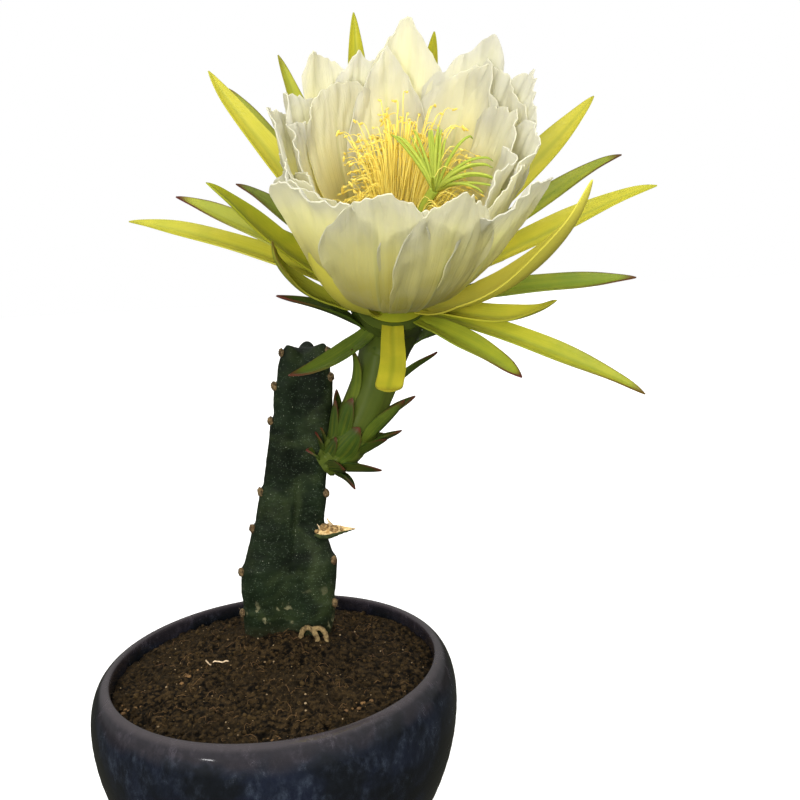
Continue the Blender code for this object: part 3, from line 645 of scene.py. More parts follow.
def make_pot():
    profile = pot_profile()
    mesh = bpy.data.meshes.new("glazed_pot")
    mesh.from_pydata([(r, 0.0, z) for r, z in profile], [(i, i + 1) for i in range(len(profile) - 1)], [])
    pot = bpy.data.objects.new("glazed_pot", mesh)
    bpy.context.scene.collection.objects.link(pot)
    only(pot)
    bpy.ops.object.mode_set(mode="EDIT")
    bpy.ops.mesh.select_all(action="SELECT")
    bpy.ops.mesh.spin(steps=POT_TURNS, angle=2 * pi, center=(0, 0, 0), axis=(0, 0, 1))
    bpy.ops.mesh.select_all(action="SELECT")
    bpy.ops.mesh.remove_doubles(threshold=0.00001)
    bpy.ops.mesh.normals_make_consistent(inside=False)
    bpy.ops.object.mode_set(mode="OBJECT")
    return pot


pot = make_pot()
print("pot profile points:", len(pot_profile()))

# %% [markdown]
# ## The glaze
# The glaze is a thick, glossy, dark blue-black. A purple grey is painted over the shoulder as sheen, and a
# paler grey along the top of the lip as a highlight; on the side the glaze is clouded with blue, partly its
# own mottling and partly painted reflection, and lower down with green. It could be painted on a UV map;
# here height and clouds choose the colour, so it has no seam. Pinholes pit it.

# %% Glaze
# The blue is partly the glaze's own mottling and partly painted reflection; the grey of the shoulder is
# painted sheen, and the pale top of the lip a painted highlight.
BLUE_BAND = (0.085, 0.118)      # heights between which each change of colour comes about
GREEN_SIDE = (0.118, 0.070)
SHOULDER_SHEEN = (0.1370, 0.1465)
LIP_HIGHLIGHT = (POT_HEIGHT - 0.0030, POT_HEIGHT - 0.0004)


def glaze_material():
    mat, tree, shader = new_material("glaze")
    place = object_place(tree)
    height = parts_of(tree, place)["Z"]
    broad = cloud_mask(tree, 26.0, 5.0, 0.40, 0.62)
    fine = cloud_mask(tree, 95.0, 8.0, 0.40, 0.66)
    low = cloud_mask(tree, 15.0, 6.0, 0.44, 0.62)
    runs = noise_map(tree, stretched(tree, place, (1.0, 1.0, 0.6)), 260.0, 7.0, 0.7)
    mottle = times(tree, span(tree, runs, 0.38, 0.70), span(tree, fine, 0.0, 1.0, 0.2, 1.0))
    blue = mixed(tree, broad, paint(12, 14, 17), paint(18, 22, 33))
    # Blue mottles in a band, partly the glaze's own and partly painted reflection
    band = times(tree, span(tree, height, *BLUE_BAND), span(tree, broad, 0.0, 0.8, 0.35, 1.0))
    blue = wash(tree, blue, mottle, band, paint(40, 46, 56))
    side = wash(tree, blue, low, span(tree, height, *GREEN_SIDE), paint(22, 44, 30))
    # Painted sheen: a mottled purple grey laid over the shoulder
    grey = mixed(tree, mottle, paint(26, 24, 28), paint(48, 44, 50))
    level = calc(tree, "ADD", height, times(tree, broad, 0.008))
    body = mixed(tree, span(tree, level, *SHOULDER_SHEEN), side, grey)
    # Painted highlight: a paler grey along the top of the lip
    body = wash(tree, body, span(tree, height, *LIP_HIGHLIGHT), 0.5, paint(64, 58, 60))
    dull = span(tree, mottle, 0.0, 1.0, 0.12, 0.34)
    plug(tree, shader, {"Base Color": body, "Roughness": dull})
    plug(tree, shader, {"Coat Weight": 0.6, "Coat Roughness": 0.06})
    wave = noise_map(tree, place, 60.0, 3.0)
    pits = speck_mask(tree, 900.0, 0.18, 0.75)
    roughen(tree, shader, calc(tree, "SUBTRACT", wave, times(tree, pits, 0.3)), 0.22, 0.0012)
    return mat


dress(pot, glaze_material(), ["pot"])

# %% [markdown]
# ## The soil bed
# The potting soil lies just under the lip, a little heaped round the stem. Its top is one grid, laid
# out in a disc, that follows the model's own mound and adds clods at three sizes. A displaced texture
# would also do, but moving the points in code keeps the bed exactly on the model's soil.

# %% Soil bed
SOIL_EDGE = POT_HEIGHT - 0.0105
SOIL_MOUND = 0.0055
SOIL_HEAP = 0.0050
SOIL_HEAP_WIDTH = 0.036
SOIL_LUMP = 0.0030
SOIL_LUMP_SIZE = 0.016
STEM_FOOT = (0.004, 0.052)
BED_CELLS = 230
BED_GAP = 0.0002
BED_RINGS = (0.030, 0.060, 0.095, 0.118)                           # depths below the edge
CLODS = ((0.0100, 0.0014), (0.0040, 0.0011), (0.0018, 0.0008))     # width, height
CLOD_SINK = 0.0012


def soil_top(x, y):
    """The height of the model's soil: a mound and a heap, with lumps that fade at the wall."""
    share = min(sqrt(x * x + y * y) / pot_inner_radius(SOIL_EDGE), 1.0)
    from_stem = sqrt((x - STEM_FOOT[0]) ** 2 + (y - STEM_FOOT[1]) ** 2)
    heap = SOIL_HEAP * exp(-(from_stem / SOIL_HEAP_WIDTH) ** 2)
    mound = (SOIL_MOUND + heap) * (1 - share ** 4)
    where = Vector((x, y, 0.3)) / SOIL_LUMP_SIZE
    lumps = noise.noise(where) + 0.5 * noise.noise(where * 2.3)
    return SOIL_EDGE + mound + SOIL_LUMP * lumps * min(1.0, (1 - share) * 6 + 0.25)


def clods(x, y):
    """The crumbly relief on top of the mound."""
    rise = 0.0
    for k, (width, height) in enumerate(CLODS):
        rise += height * (1.0 - 2.0 * abs(noise.noise(Vector((x, y, 0.17 * k)) / width)))
    return rise - CLOD_SINK


def ground(x, y):
    """The height of the crumbly surface."""
    return soil_top(x, y) + clods(x, y)


def make_bed():
    bed = grid(BED_CELLS, BED_CELLS)
    bed.name = "soil_bed"
    flat = points_of(bed)
    radius = pot_inner_radius(SOIL_EDGE) - BED_GAP
    x = flat[:, 0] * np.sqrt(1 - flat[:, 1] ** 2 / 2) * radius
    y = flat[:, 1] * np.sqrt(1 - flat[:, 0] ** 2 / 2) * radius
    z = [ground(a, b) for a, b in zip(x, y)]
    set_points(bed, np.stack([x, y, z], axis=1))
    only(bed)
    bpy.ops.object.mode_set(mode="EDIT")
    bpy.ops.mesh.select_all(action="SELECT")
    bpy.ops.mesh.region_to_loop()
    for depth in BED_RINGS:
        z = SOIL_EDGE - depth
        shrink = (pot_inner_radius(z) - BED_GAP) / radius
        bpy.ops.mesh.extrude_edges_move()
        bpy.ops.transform.resize(value=(shrink, shrink, 1), center_override=(0, 0, 0))
        radius *= shrink
        bpy.ops.transform.resize(value=(1, 1, 0), center_override=(0, 0, z))
    bpy.ops.mesh.edge_face_add()
    bpy.ops.mesh.select_all(action="SELECT")
    bpy.ops.mesh.normals_make_consistent(inside=False)
    bpy.ops.object.mode_set(mode="OBJECT")
    return bed


bed = make_bed()
print("faces of the soil bed:", len(bed.data.polygons))

# %% [markdown]
# ## Soil colour
# Damp peat is nearly black, and dry peat a warm brown. One plain brown would look like plastic, so a
# fine and a broad cloud mix the two, the mark of each loose crumb makes it drier, and specks stand for
# the finest grit. The bed and the crumbs share the material, so that the crumbs belong to the bed.

# %% Soil material


def soil_material():
    mat, tree, shader = new_material("peat")
    clump = cloud_mask(tree, 330.0, 7.0, 0.38, 0.66)
    patch = cloud_mask(tree, 34.0, 4.0, 0.40, 0.66)
    grit = speck_mask(tree, 900.0, 0.24, 0.93)
    body = mixed(tree, clump, paint(7, 5, 3), paint(55, 42, 23))
    body = wash(tree, body, patch, 0.55, paint(38, 29, 15))
    body = mixed(tree, mark_of(tree)["X"], body, paint(74, 58, 32))
    body = wash(tree, body, grit, 0.6, paint(120, 98, 66))
    plug(tree, shader, {"Base Color": body, "Roughness": 0.95, "Specular IOR Level": 0.25})
    roughen(tree, shader, noise_map(tree, object_place(tree), 900.0, 6.0, 0.7), 0.9, 0.0010)
    return mat


EARTH = soil_material()
dress(bed, EARTH, ["soil"])

# %% [markdown]
# ## Crumbs, grit and clumps
# Loose crumbs make the bed look like soil and not like a cast. Geometry nodes could scatter them; here
# one rough pebble is modelled, an icosphere whose points are pushed in and out, and copied a few
# thousand times at random sizes, from a seeded draw. Pale grit and ochre clumps are scattered likewise.

# %% Crumbs
rng = np.random.default_rng(7)
CRUMBS = 2200
CRUMB_SIZES = (0.00045, 0.0012, 3)      # smallest, spread, and how rare the large ones are
GRIT = 120
GRIT_SIZES = (0.0003, 0.0004, 3)
OCHRE_CLUMPS = ((0.052, -0.056), (-0.077, -0.040), (-0.050, -0.010), (0.012, -0.084))
CLUMP_GRAINS = 8
CLUMP_SIZES = (0.0005, 0.0010, 1)


def random_place(margin=0.004):
    """A random point of the soil's surface, a little inside the pot's wall."""
    reach = (pot_inner_radius(SOIL_EDGE) - margin) * sqrt(rng.random())
    angle = rng.random() * 2 * pi
    return reach * cos(angle), reach * sin(angle)


def pebble(seed):
    """One rough grain about two units across, with a UV map."""
    grain, points = sphere(2)
    swell = 1 + 0.38 * bumps(points, 0.9, seed) + 0.16 * bumps(points, 0.35, seed)
    set_points(grain, points * swell[:, None])
    return grain


def random_turn():
    """A random rotation, as a 3 by 3 array."""
    q, _ = np.linalg.qr(rng.normal(size=(3, 3)))
    return q * np.sign(np.linalg.det(q))


def scatter(name, seed, places, sizes, flat=1.0, sink=0.35, shades=(0.0, 1.0)):
    """Copies a pebble to the places, each turned, sized, flattened and sunk into the soil."""
    grain = pebble(seed)
    points = points_of(grain)
    shapes, marks = [], []
    for (x, y), size in zip(places, sizes):
        lump = (points @ random_turn()) * size * np.array((1.0, 0.8 + 0.4 * rng.random(), flat))
        rise = ground(x, y) + size * (1 - 2 * sink)
        shapes.append(lump + np.array((x, y, rise)))
        marks.append((shades[0] + (shades[1] - shades[0]) * rng.random() ** 2, 0, 0))
    return copies(name, grain, shapes, marks)


def random_sizes(count, smallest, spread, power):
    """Random sizes, of which a higher power makes more small ones."""
    return smallest + spread * rng.random(count) ** power


crumb_places = [random_place() for _ in range(CRUMBS)]
crumb_sizes = random_sizes(CRUMBS, *CRUMB_SIZES)
crumbs = scatter("soil_crumbs", 1.0, crumb_places, crumb_sizes, 0.85, 0.42, (0.0, 0.55))
dress(crumbs, EARTH)

# %% Grit and clumps
grit_places = [random_place() for _ in range(GRIT)]
grit = scatter("soil_grit", 4.0, grit_places, random_sizes(GRIT, *GRIT_SIZES), 0.8, 0.3)
clump_places = []
for x, y in OCHRE_CLUMPS:
    for _ in range(CLUMP_GRAINS):
        clump_places.append((x + 0.004 * rng.normal(), y + 0.003 * rng.normal()))
clumps = scatter("soil_clumps", 2.0, clump_places, random_sizes(len(clump_places), *CLUMP_SIZES), 0.6, 0.5)


def grit_material(name, one, two):
    """Dry bits between two colours, chosen by the mark of each, with brown patches."""
    mat, tree, shader = new_material(name)
    body = mixed(tree, mark_of(tree)["X"], one, two)
    body = wash(tree, body, cloud_mask(tree, 600.0, 4.0, 0.3, 0.7), 0.5, paint(92, 66, 42))
    plug(tree, shader, {"Base Color": body, "Roughness": 0.9})
    return mat


dress(grit, grit_material("pale grit", paint(160, 140, 108), paint(112, 88, 56)))
dress(clumps, grit_material("ochre clumps", paint(112, 84, 48), paint(84, 62, 36)))

# %% [markdown]
# ## Dry fibres and a twig
# Coir fibres and one pale, curled twig lie on the soil. They could be curves with a bevel; as copies of
# one small tube they stay a single light piece. Each follows a low arch that touches the ground at both
# ends, so none of them hangs in the air.

# %% Fibres
FIBRES = 190
FIBRE_ROWS = 8
FIBRE_LENGTHS = (0.003, 0.006)          # shortest, and how much may be added
FIBRE_RADII = (0.0001, 0.00007)
FIBRE_LIFTS = (0.0006, 0.0012)
TWIG = ((-0.045, 0.0095), (-0.041, 0.0050), (-0.036, 0.0030), (-0.029, 0.0035))
TWIG_RADIUS = 0.00042
TWIG_ROWS = 24


def ground_line(spots, lift, count):
    """A smooth line over the soil through the spots, lifted a little in its middle."""
    flat = smooth_path([(x, y, 0) for x, y in spots], count)
    share = np.linspace(0, 1, count)
    for row, s in zip(flat, share):
        row[2] = ground(row[0], row[1]) + lift * sin(pi * s)
    return flat


def between(shortest, spread):
    """A random value from the shortest upwards."""
    return shortest + spread * rng.random()


def step(spot, heading, length):
    """The spot reached from another by walking a length in a heading."""
    return spot[0] + cos(heading) * length, spot[1] + sin(heading) * length


def make_fibres():
    template, around, along = skin_grid(3, FIBRE_ROWS - 1)
    shapes, marks = [], []
    for _ in range(FIBRES):
        start = random_place(0.012)
        heading = rng.random() * 2 * pi
        half = between(*FIBRE_LENGTHS) / 2
        middle = step(start, heading, half)
        end = step(middle, heading + 0.7 * rng.normal(), half)
        centres = ground_line((start, middle, end), between(*FIBRE_LIFTS), FIBRE_ROWS)
        radii = np.full(FIBRE_ROWS, between(*FIBRE_RADII))
        shapes.append(pipe(centres, radii)(around, along))
        marks.append((rng.random(), 0, 0))
    return merge(copies("soil_fibres", template, shapes, marks))


def make_twig():
    template, around, along = skin_grid(8, TWIG_ROWS)
    skin = pipe(ground_line(TWIG, 0.0012, TWIG_ROWS), np.full(TWIG_ROWS, TWIG_RADIUS))
    swell = 0.00012 * np.sin(along * 40) * np.cos(around)
    return merge(copies("soil_twig", template, [skin(around, along, swell)], [(0.0, 0, 0)]))


dress(make_fibres(), grit_material("dry fibres", paint(104, 80, 48), paint(70, 50, 30)))
dress(make_twig(), grit_material("pale twig", paint(214, 190, 156), paint(214, 190, 156)))

# %% [markdown]
# ## The stem
# The stem is a column with three ribs and rounded furrows. Each rib steps in just above an areole and
# runs out again to the next one. A subdivided box could be sculpted into it, but the column is a wrapped
# grid whose radius is worked out from angle and height, so the ribs stay where the model has them.

# %% Stem measures
STEM_BASE = 0.15
STEM_LEAN = 0.125
STEM_RIB_AZ = np.radians((210, 330, 90))
# Ribs: height, then how far the left, the right and the back rib stand out
STEM_RIBS = np.array((
    (0.100, 0.024, 0.024, 0.020),
    (0.128, 0.029, 0.029, 0.024),
    (0.150, 0.032, 0.033, 0.026),
    (0.172, 0.036, 0.034, 0.028),
    (0.190, 0.036, 0.033, 0.028),
    (0.205, 0.0315, 0.026, 0.026),
    (0.216, 0.0295, 0.022, 0.025),
    (0.239, 0.0255, 0.0225, 0.024),
    (0.262, 0.0225, 0.023, 0.024),
    (0.284, 0.0205, 0.0235, 0.024),
    (0.306, 0.0195, 0.0220, 0.022),
    (0.318, 0.0180, 0.0200, 0.0195),
    (0.3275, 0.0150, 0.0170, 0.0165),
))
# Cap: height, shrink, and drop of the furrows
STEM_CAP = ((0.3306, 0.86, 0.0064), (0.3310, 0.76, 0.0062), (0.3302, 0.60, 0.0045), (0.3292, 0.42, 0.0026),
            (0.3283, 0.20, 0.0008), (0.3280, 0.0, 0.0))
FURROWS_DROP = (0.308, 0.012, 0.0035)    # from this height, over this rise, by this much
STEM_VALLEY = 0.56              # how far the furrows stand out, as a share of the ribs
RIB_BLEND = 6
CREST_SHARPNESS = 1.25
RIB_STEP = 0.0017               # how far a rib steps in just above each areole
STEP_HEIGHT = 0.0035
# Areoles: their heights on the left, the right and the back rib
AREOLES = (
    (0.160, 0.188, 0.2155, 0.239, 0.284, 0.306, 0.3265),
    (0.163, 0.192, 0.235, 0.3100, 0.3260),
    (0.158, 0.186, 0.215, 0.245, 0.272, 0.300, 0.3250),
)
AREOLE_RADIUS = 0.0028
print("the stem's top is", round(STEM_CAP[1][0] - SOIL_EDGE, 3), "m above the edge of the soil")

# %% Stem shape


def stem_axis(z):
    """The middle of the stem at each height; it leans a little to the right."""
    return np.stack([STEM_FOOT[0] + (z - STEM_BASE) * STEM_LEAN, np.full_like(z, STEM_FOOT[1]), z], axis=1)


def rib_steps(rib, z):
    """How far a rib has stepped in above an areole: it runs straight to the next one and steps again."""
    reach = 0 * z
    marks = AREOLES[rib]
    for low, high in zip(marks[:-1], marks[1:]):
        share = np.clip((z - low) / (high - low), 0, 1)
        reach = reach - RIB_STEP * (1 - share) * smooth(z - low, 0.0, STEP_HEIGHT)
    return reach


def rib_reach(rib, z):
    """How far a rib stands out at a height."""
    return np.interp(z, STEM_RIBS[:, 0], STEM_RIBS[:, rib + 1]) + rib_steps(rib, z)


def stem_surface(angle, z, shrink, drop):
    """Points of the stem: three ribs with rounded furrows between them."""
    weights = np.stack([np.maximum(0, np.cos(angle - a)) ** RIB_BLEND for a in STEM_RIB_AZ])
    total = weights.sum(axis=0)
    crest = (0.5 + 0.5 * np.cos(3 * (angle - pi / 2))) ** CREST_SHARPNESS
    reach = sum(w * rib_reach(i, z) for i, w in enumerate(weights)) / total
    reach -= (1 - crest ** 0.7) * sum(w * rib_steps(i, z) for i, w in enumerate(weights)) / total
    radius = reach * (STEM_VALLEY + (1 - STEM_VALLEY) * crest) * shrink
    outward = np.stack([np.cos(angle) * radius, np.sin(angle) * radius, -drop * (1 - crest)], axis=1)
    return stem_axis(z) + outward


def make_stem():
    template, angle, along = skin_grid(110, 220)
    heights = np.linspace(STEM_RIBS[0, 0], STEM_RIBS[-1, 0], 90)
    start, over, drop = FURROWS_DROP
    rows = [(STEM_RIBS[0, 0], 0.0, 0.0)]
    rows += [(z, 1.0, drop * max(0.0, (z - start) / over)) for z in heights]
    rows = smooth_path(rows + list(STEM_CAP), 400)
    rows[:, 1] = np.clip(rows[:, 1], 0, 1)
    rows[0, 1] = rows[-1, 1] = 0.0
    share = np.linspace(0, 1, len(rows))
    z, shrink, drop = (np.interp(along, share, rows[:, i]) for i in range(3))
    points = stem_surface(angle, z, shrink, drop)
    waves = bumps(points, 0.011, 3.0) * 0.0004 + bumps(points * (1, 1, 2.2), 0.006, 5.0) * 0.00018
    flat = np.stack([np.cos(angle), np.sin(angle), np.zeros_like(z)], axis=1)
    points += flat * (waves * np.clip(shrink * 1.3 - 0.3, 0, 1))[:, None]
    return merge(copies("ribbed_stem", template, [points], [(0, 0, 0)]), 0.00002)


print("reach of the ribs at the foot:", [round(rib_reach(rib, STEM_BASE), 3) for rib in range(3)])

# %% Stem skin
CORKY_FOOT = (0.185, 0.140)     # heights from which each wear of the foot begins, and where it is full
SOILED_FOOT = (0.156, 0.130)


def stem_material():
    mat, tree, shader = new_material("stem skin")
    place = object_place(tree)
    height = parts_of(tree, place)["Z"]
    broad = cloud_mask(tree, 32.0, 5.0, 0.38, 0.66)
    flat = stretched(tree, place, (1.0, 1.0, 3.0))
    bands = span(tree, noise_map(tree, flat, 70.0, 5.0, 0.6), 0.40, 0.66)
    body = mixed(tree, broad, paint(9, 15, 7), paint(20, 30, 16))
    body = wash(tree, body, bands, 0.22, paint(33, 45, 25))
    body = wash(tree, body, cloud_mask(tree, 42.0, 8.0, 0.44, 0.72), 0.5, paint(54, 64, 35))
    worn = cloud_mask(tree, 120.0, 8.0, 0.60, 0.70)
    body = wash(tree, body, worn, times(tree, span(tree, height, *CORKY_FOOT), 0.8), paint(140, 134, 100))
    soiled = span(tree, height, *SOILED_FOOT)
    body = wash(tree, body, soiled, span(tree, bands, 0.0, 1.0, 0.5, 0.95), paint(52, 44, 26))
    dots = speck_mask(tree, 1300.0, 0.26, 0.72)
    body = wash(tree, body, dots, 0.22, paint(150, 168, 142))
    dust = speck_mask(tree, 520.0, 0.12, 0.88)
    body = wash(tree, body, dust, 0.42, paint(190, 194, 170))
    dull = span(tree, bands, 0.0, 1.0, 0.48, 0.66)
    plug(tree, shader, {"Base Color": body, "Roughness": dull, "Specular IOR Level": 0.3})
    fine = noise_map(tree, flat, 420.0, 4.0)
    relief = calc(tree, "ADD", times(tree, bands, 0.8), times(tree, fine, 0.35))
    roughen(tree, shader, relief, 0.35, 0.0009)
    return mat


dress(make_stem(), stem_material(), ["stem"])

# %% [markdown]
# ## Areoles
# Each areole is a corky felt pad on the shoulder of its rib, with a few short spines and a tuft of wool.
# The pads are one rough grain, copied to every place with its own lumps. Hair particles could make the
# spines, but they don't stay as a mesh, so spines and hairs are tiny tapered tubes from inside the pad.

# %% Areoles
# On each pad: how many, their length and radius, how far they spread, and their sides
SPINES = (3, 0.0030, 0.00024, 0.6, 6)
HAIRS = (46, 0.0017, 0.00006, 0.9, 3)
PAD_OUT = 0.15                  # how far a pad's middle stands off its rib, as a share of its radius
PAD_THICK = 0.62
PAD_WIDE = 0.86


def areole_spots():
    """The place and outward direction of every areole."""
    for rib, marks in enumerate(AREOLES):
        for k, z in enumerate(marks):
            angle = STEM_RIB_AZ[rib] + radians(2.0 * sin(3.0 * k + rib))
            reach = rib_reach(rib, np.array([z]))[0] + AREOLE_RADIUS * PAD_OUT
            outward = np.array((cos(angle), sin(angle), 0.0))
            yield stem_axis(np.array([z]))[0] + outward * reach, outward


def frame_of(direction):
    """Three unit vectors, the first along the direction."""
    first = unit(direction)
    side = unit(np.cross((0.0, 0.0, 1.0), first))
    return np.stack([first, side, np.cross(first, side)])


def thorn(around, along, foot, aim, length, radius, sag=0.0):
    """A tapered tube from the foot along the aim."""
    share = np.linspace(0, 1, 8)
    centres = foot + np.outer(share * length, aim) + np.outer(share ** 2 * sag, (0, 0, -1.0))
    return pipe(centres, radius * (1 - 0.86 * share))(around, along)


def make_areoles():
    pad, ball = sphere(3)
    shapes, marks = [], []
    for k, (spot, outward) in enumerate(areole_spots()):
        swell = 1 + 0.20 * bumps(ball, 0.5, k) + 0.10 * bumps(ball, 0.22, k)
        size = np.array((PAD_THICK + 0.1 * rng.random(), PAD_WIDE, 1.0 + 0.12 * rng.random()))
        shapes.append(spot + (ball * swell[:, None] * (AREOLE_RADIUS * size)) @ frame_of(outward))
        marks.append((rng.random(), 0, 0))
    return copies("areole_pads", pad, shapes, marks)


def make_spines(name, count, length, radius, spread, sides):
    """Thorns or hairs that leave every areole in all directions, most of them outwards."""
    template, around, along = skin_grid(sides, 7)
    shapes, marks = [], []
    for spot, outward in areole_spots():
        basis = frame_of(outward)
        for _ in range(count):
            aim = unit(np.array((1.0, spread * rng.normal(), spread * rng.normal() + 0.15)) @ basis)
            start = spot + np.array((0.0, 0.4 * rng.normal(), 0.4 * rng.normal())) @ basis * AREOLE_RADIUS
            size = length * (0.7 + 0.5 * rng.random())
            shapes.append(thorn(around, along, start, aim, size, radius, sag=0.15 * size * rng.random()))
            marks.append((rng.random(), 0, 0))
    return merge(copies(name, template, shapes, marks))


print("areoles:", len(list(areole_spots())))

# %% Felt, spines and wool


def cork_material(name, dark, light, tip, grain=500.0):
    """Dry cork, felt or spine: pale crests, dark cracks, and a tint chosen by the piece's mark."""
    mat, tree, shader = new_material(name)
    fine = noise_map(tree, object_place(tree), grain, 8.0, 0.7)
    patch = cloud_mask(tree, grain * 0.3, 5.0, 0.38, 0.64)
    body = mixed(tree, span(tree, fine, 0.36, 0.62), dark, light)
    body = wash(tree, body, patch, times(tree, mark_of(tree)["X"], 0.8), tip)
    plug(tree, shader, {"Base Color": body, "Roughness": 0.9})
    roughen(tree, shader, fine, 0.7, 0.0006)
    return mat


FELT = cork_material("felt", paint(38, 29, 18), paint(120, 100, 68), paint(66, 48, 30))
dress(make_areoles(), FELT)
dress(make_spines("areole_spines", *SPINES), FELT)
WOOL = cork_material("wool", paint(112, 98, 72), paint(162, 148, 118), paint(128, 108, 78))
dress(make_spines("areole_wool", *HAIRS), WOOL)

# %% [markdown]
# ## The dried stub
# A withered side piece sticks out of the right rib. Its top is a pale cut face with round corky bumps
# and short prongs, its underside a thin dark green edge with small teeth. The body could be carved from
# a box, but it is a wrapped grid whose cross-section is read from a short table, like a ship's ribs.

# %% Stub measures
STUB_ROOT = np.array((0.0262, 0.0385, 0.2100))
STUB_DIRECTION = unit(np.array((0.965, -0.20, 0.06)))
STUB_TILT = radians(38)         # how far the cut face is turned towards the viewer
STUB_LEVEL = unit(np.cross(STUB_DIRECTION, (0, 0, 1.0)))
STUB_UPRIGHT = np.cross(STUB_LEVEL, STUB_DIRECTION)
STUB_DEEP = STUB_LEVEL * cos(STUB_TILT) - STUB_UPRIGHT * sin(STUB_TILT)
STUB_HIGH = STUB_UPRIGHT * cos(STUB_TILT) + STUB_LEVEL * sin(STUB_TILT)
# Cross-sections: run along the stub, depth below the face, half width of the face, rise
STUB_SECTIONS = np.array((
    (-0.0060, 0.0020, 0.0012, 0.0000),
    (-0.0010, 0.0032, 0.0022, 0.0000),
    (0.0040, 0.0056, 0.0052, 0.0002),
    (0.0085, 0.0060, 0.0056, 0.0004),
    (0.0130, 0.0048, 0.0042, 0.0008),
    (0.0190, 0.0028, 0.0023, 0.0014),
    (0.0268, 0.0006, 0.0006, 0.0020),
))
STUB_CUT = 0.25                 # how far the cut face lies above the middle, as a share of the depth
STUB_TEETH = (0.16, 1900)       # depth as a share, and radians of their wave in each metre
# Bumps: run along the stub, side, radius, and how dark they are
STUB_BUMPS = (
    (0.0062, -0.0024, 0.0026, 1.0),
    (0.0130, -0.0006, 0.0026, 0.1),
    (0.0015, 0.0006, 0.0014, 0.5),
    (0.0180, 0.0000, 0.0011, 0.3),
)
BUMP_RISE = 0.0022
# Prongs: the foot's run, side and rise, then the tip's, and the radius
STUB_PRONGS = (
    (0.0104, -0.0040, 0.0018, 0.0086, -0.0058, 0.0078, 0.0013),
    (0.0030, -0.0020, 0.0015, 0.0018, -0.0034, 0.0048, 0.0009),
    (0.0160, -0.0016, 0.0008, 0.0172, -0.0026, 0.0034, 0.0008),
    (0.0240, 0.0000, 0.0018, 0.0275, 0.0003, 0.0026, 0.0008),
)
PRONG_ROWS = 14
PRONG_BEND = 0.0006
print("the stub is", round(STUB_SECTIONS[-1, 0] * 1000, 1), "mm long")

# %% Stub shapes


def on_stub(run, side, rise):
    """A point beside the stub: along it, towards the viewer, and up."""
    return STUB_ROOT + np.outer(run, STUB_DIRECTION) + np.outer(side, STUB_DEEP) + np.outer(rise, STUB_HIGH)


def make_stub():
    template, angle, along = skin_grid(64, 90)
    run = np.interp(along, (0, 1), (STUB_SECTIONS[0, 0], STUB_SECTIONS[-1, 0]))
    tall, deep, rise = (np.interp(run, STUB_SECTIONS[:, 0], STUB_SECTIONS[:, i]) for i in (1, 2, 3))
    across, up = np.sin(angle), -np.cos(angle)
    depth, rate = STUB_TEETH
    teeth = np.where(up < 0, 1 + depth * np.sin(run * rate) * smooth(run, 0.004, 0.012), 1.0)
    hollow = 0.10 * np.cos(pi * np.clip(across, -1, 1) / 2)
    up = np.where(up > STUB_CUT, STUB_CUT + (up - STUB_CUT) * 0.05 - hollow, up * teeth)
    across = across * np.where(up < 0, 1 - 0.6 * np.clip(-up, 0, 1) ** 1.2, 1.0)
    points = on_stub(run, across * deep, up * tall + rise)
    rough = bumps(points, 0.0022, 1.0) * 0.0005 + bumps(points, 0.0009, 2.0) * 0.00025
    ends = closed_ends(along, 30)
    points += np.outer(rough * ends, STUB_HIGH)
    points = np.where((ends > 0)[:, None], points, on_stub(run, 0 * run, rise))
    return merge(copies("dried_stub_body", template, [points], [(0.3, 0, 0)]), 0.00001)


def make_bumps():
    """Round corky bumps, each with a dent in its top."""
    knob, ball = sphere(4)
    swell = 1 + 0.16 * bumps(ball, 0.45, 8.0) + 0.10 * bumps(ball, 0.2, 9.0)
    dent = np.exp(-(ball[:, 0] ** 2 + ball[:, 1] ** 2) / 0.12)
    dented = (swell * np.where(ball[:, 2] > 0.4, 1 - 0.5 * dent, 1.0))[:, None]
    shapes = []
    for run, side, size, _ in STUB_BUMPS:
        middle = on_stub([run], [side], [BUMP_RISE])[0]
        shapes.append(middle + ball * dented * size * np.array((1.05, 0.9, 1.0)))
    return copies("dried_stub_bumps", knob, shapes, [(dark, 0, 0) for *_, dark in STUB_BUMPS])


def make_prongs():
    template, around, along = skin_grid(8, PRONG_ROWS)
    swell = 0.00022 * np.sin(along * 21 + around * 2)
    shapes = []
    for run, side, rise, tip_run, tip_side, tip_rise, radius in STUB_PRONGS:
        runs = [run, (run + tip_run) / 2 + PRONG_BEND, tip_run]
        ends = on_stub(runs, [side, side, tip_side], [rise, (rise + tip_rise) / 2, tip_rise])
        radii = radius * (1 - 0.8 * np.linspace(0, 1, PRONG_ROWS))
        shapes.append(pipe(smooth_path(ends, PRONG_ROWS), radii)(around, along, swell * (1 - along)))
    return merge(copies("dried_stub_prongs", template, shapes, [(0.2, 0, 0)] * len(STUB_PRONGS)))


print("the stub reaches", np.round(on_stub(STUB_SECTIONS[-1:, 0], [0], [0])[0], 3))

# %% The stub's cork and its green underside
UNDERSIDE = (0.16, 0.02)        # how far a point faces up, where the green begins and is full
NEAR_EDGE = (0.62, 0.72)        # how far it faces the viewer, in the same way


def stub_material():
    mat = cork_material("stub cork", paint(168, 132, 78), paint(232, 208, 152), paint(150, 106, 58), 320.0)
    tree = mat.node_tree
    shader = tree.nodes["Principled BSDF"]
    turn = times(tree, map_shares(tree)[0], 2 * pi)
    wave = cloud_mask(tree, 260.0, 4.0, 0.3, 0.7)
    up = calc(tree, "ADD", calc(tree, "COSINE", turn), times(tree, wave, 0.12))
    toward = calc(tree, "SUBTRACT", times(tree, wave, 0.2), calc(tree, "SINE", turn))
    edge = calc(tree, "MAXIMUM", span(tree, up, *UNDERSIDE), span(tree, toward, *NEAR_EDGE))
    green = mixed(tree, wave, paint(22, 32, 16), paint(58, 66, 34))
    cork = shader.inputs["Base Color"].links[0].from_socket
    plug(tree, shader, {"Base Color": mixed(tree, edge, cork, green)})
    return mat


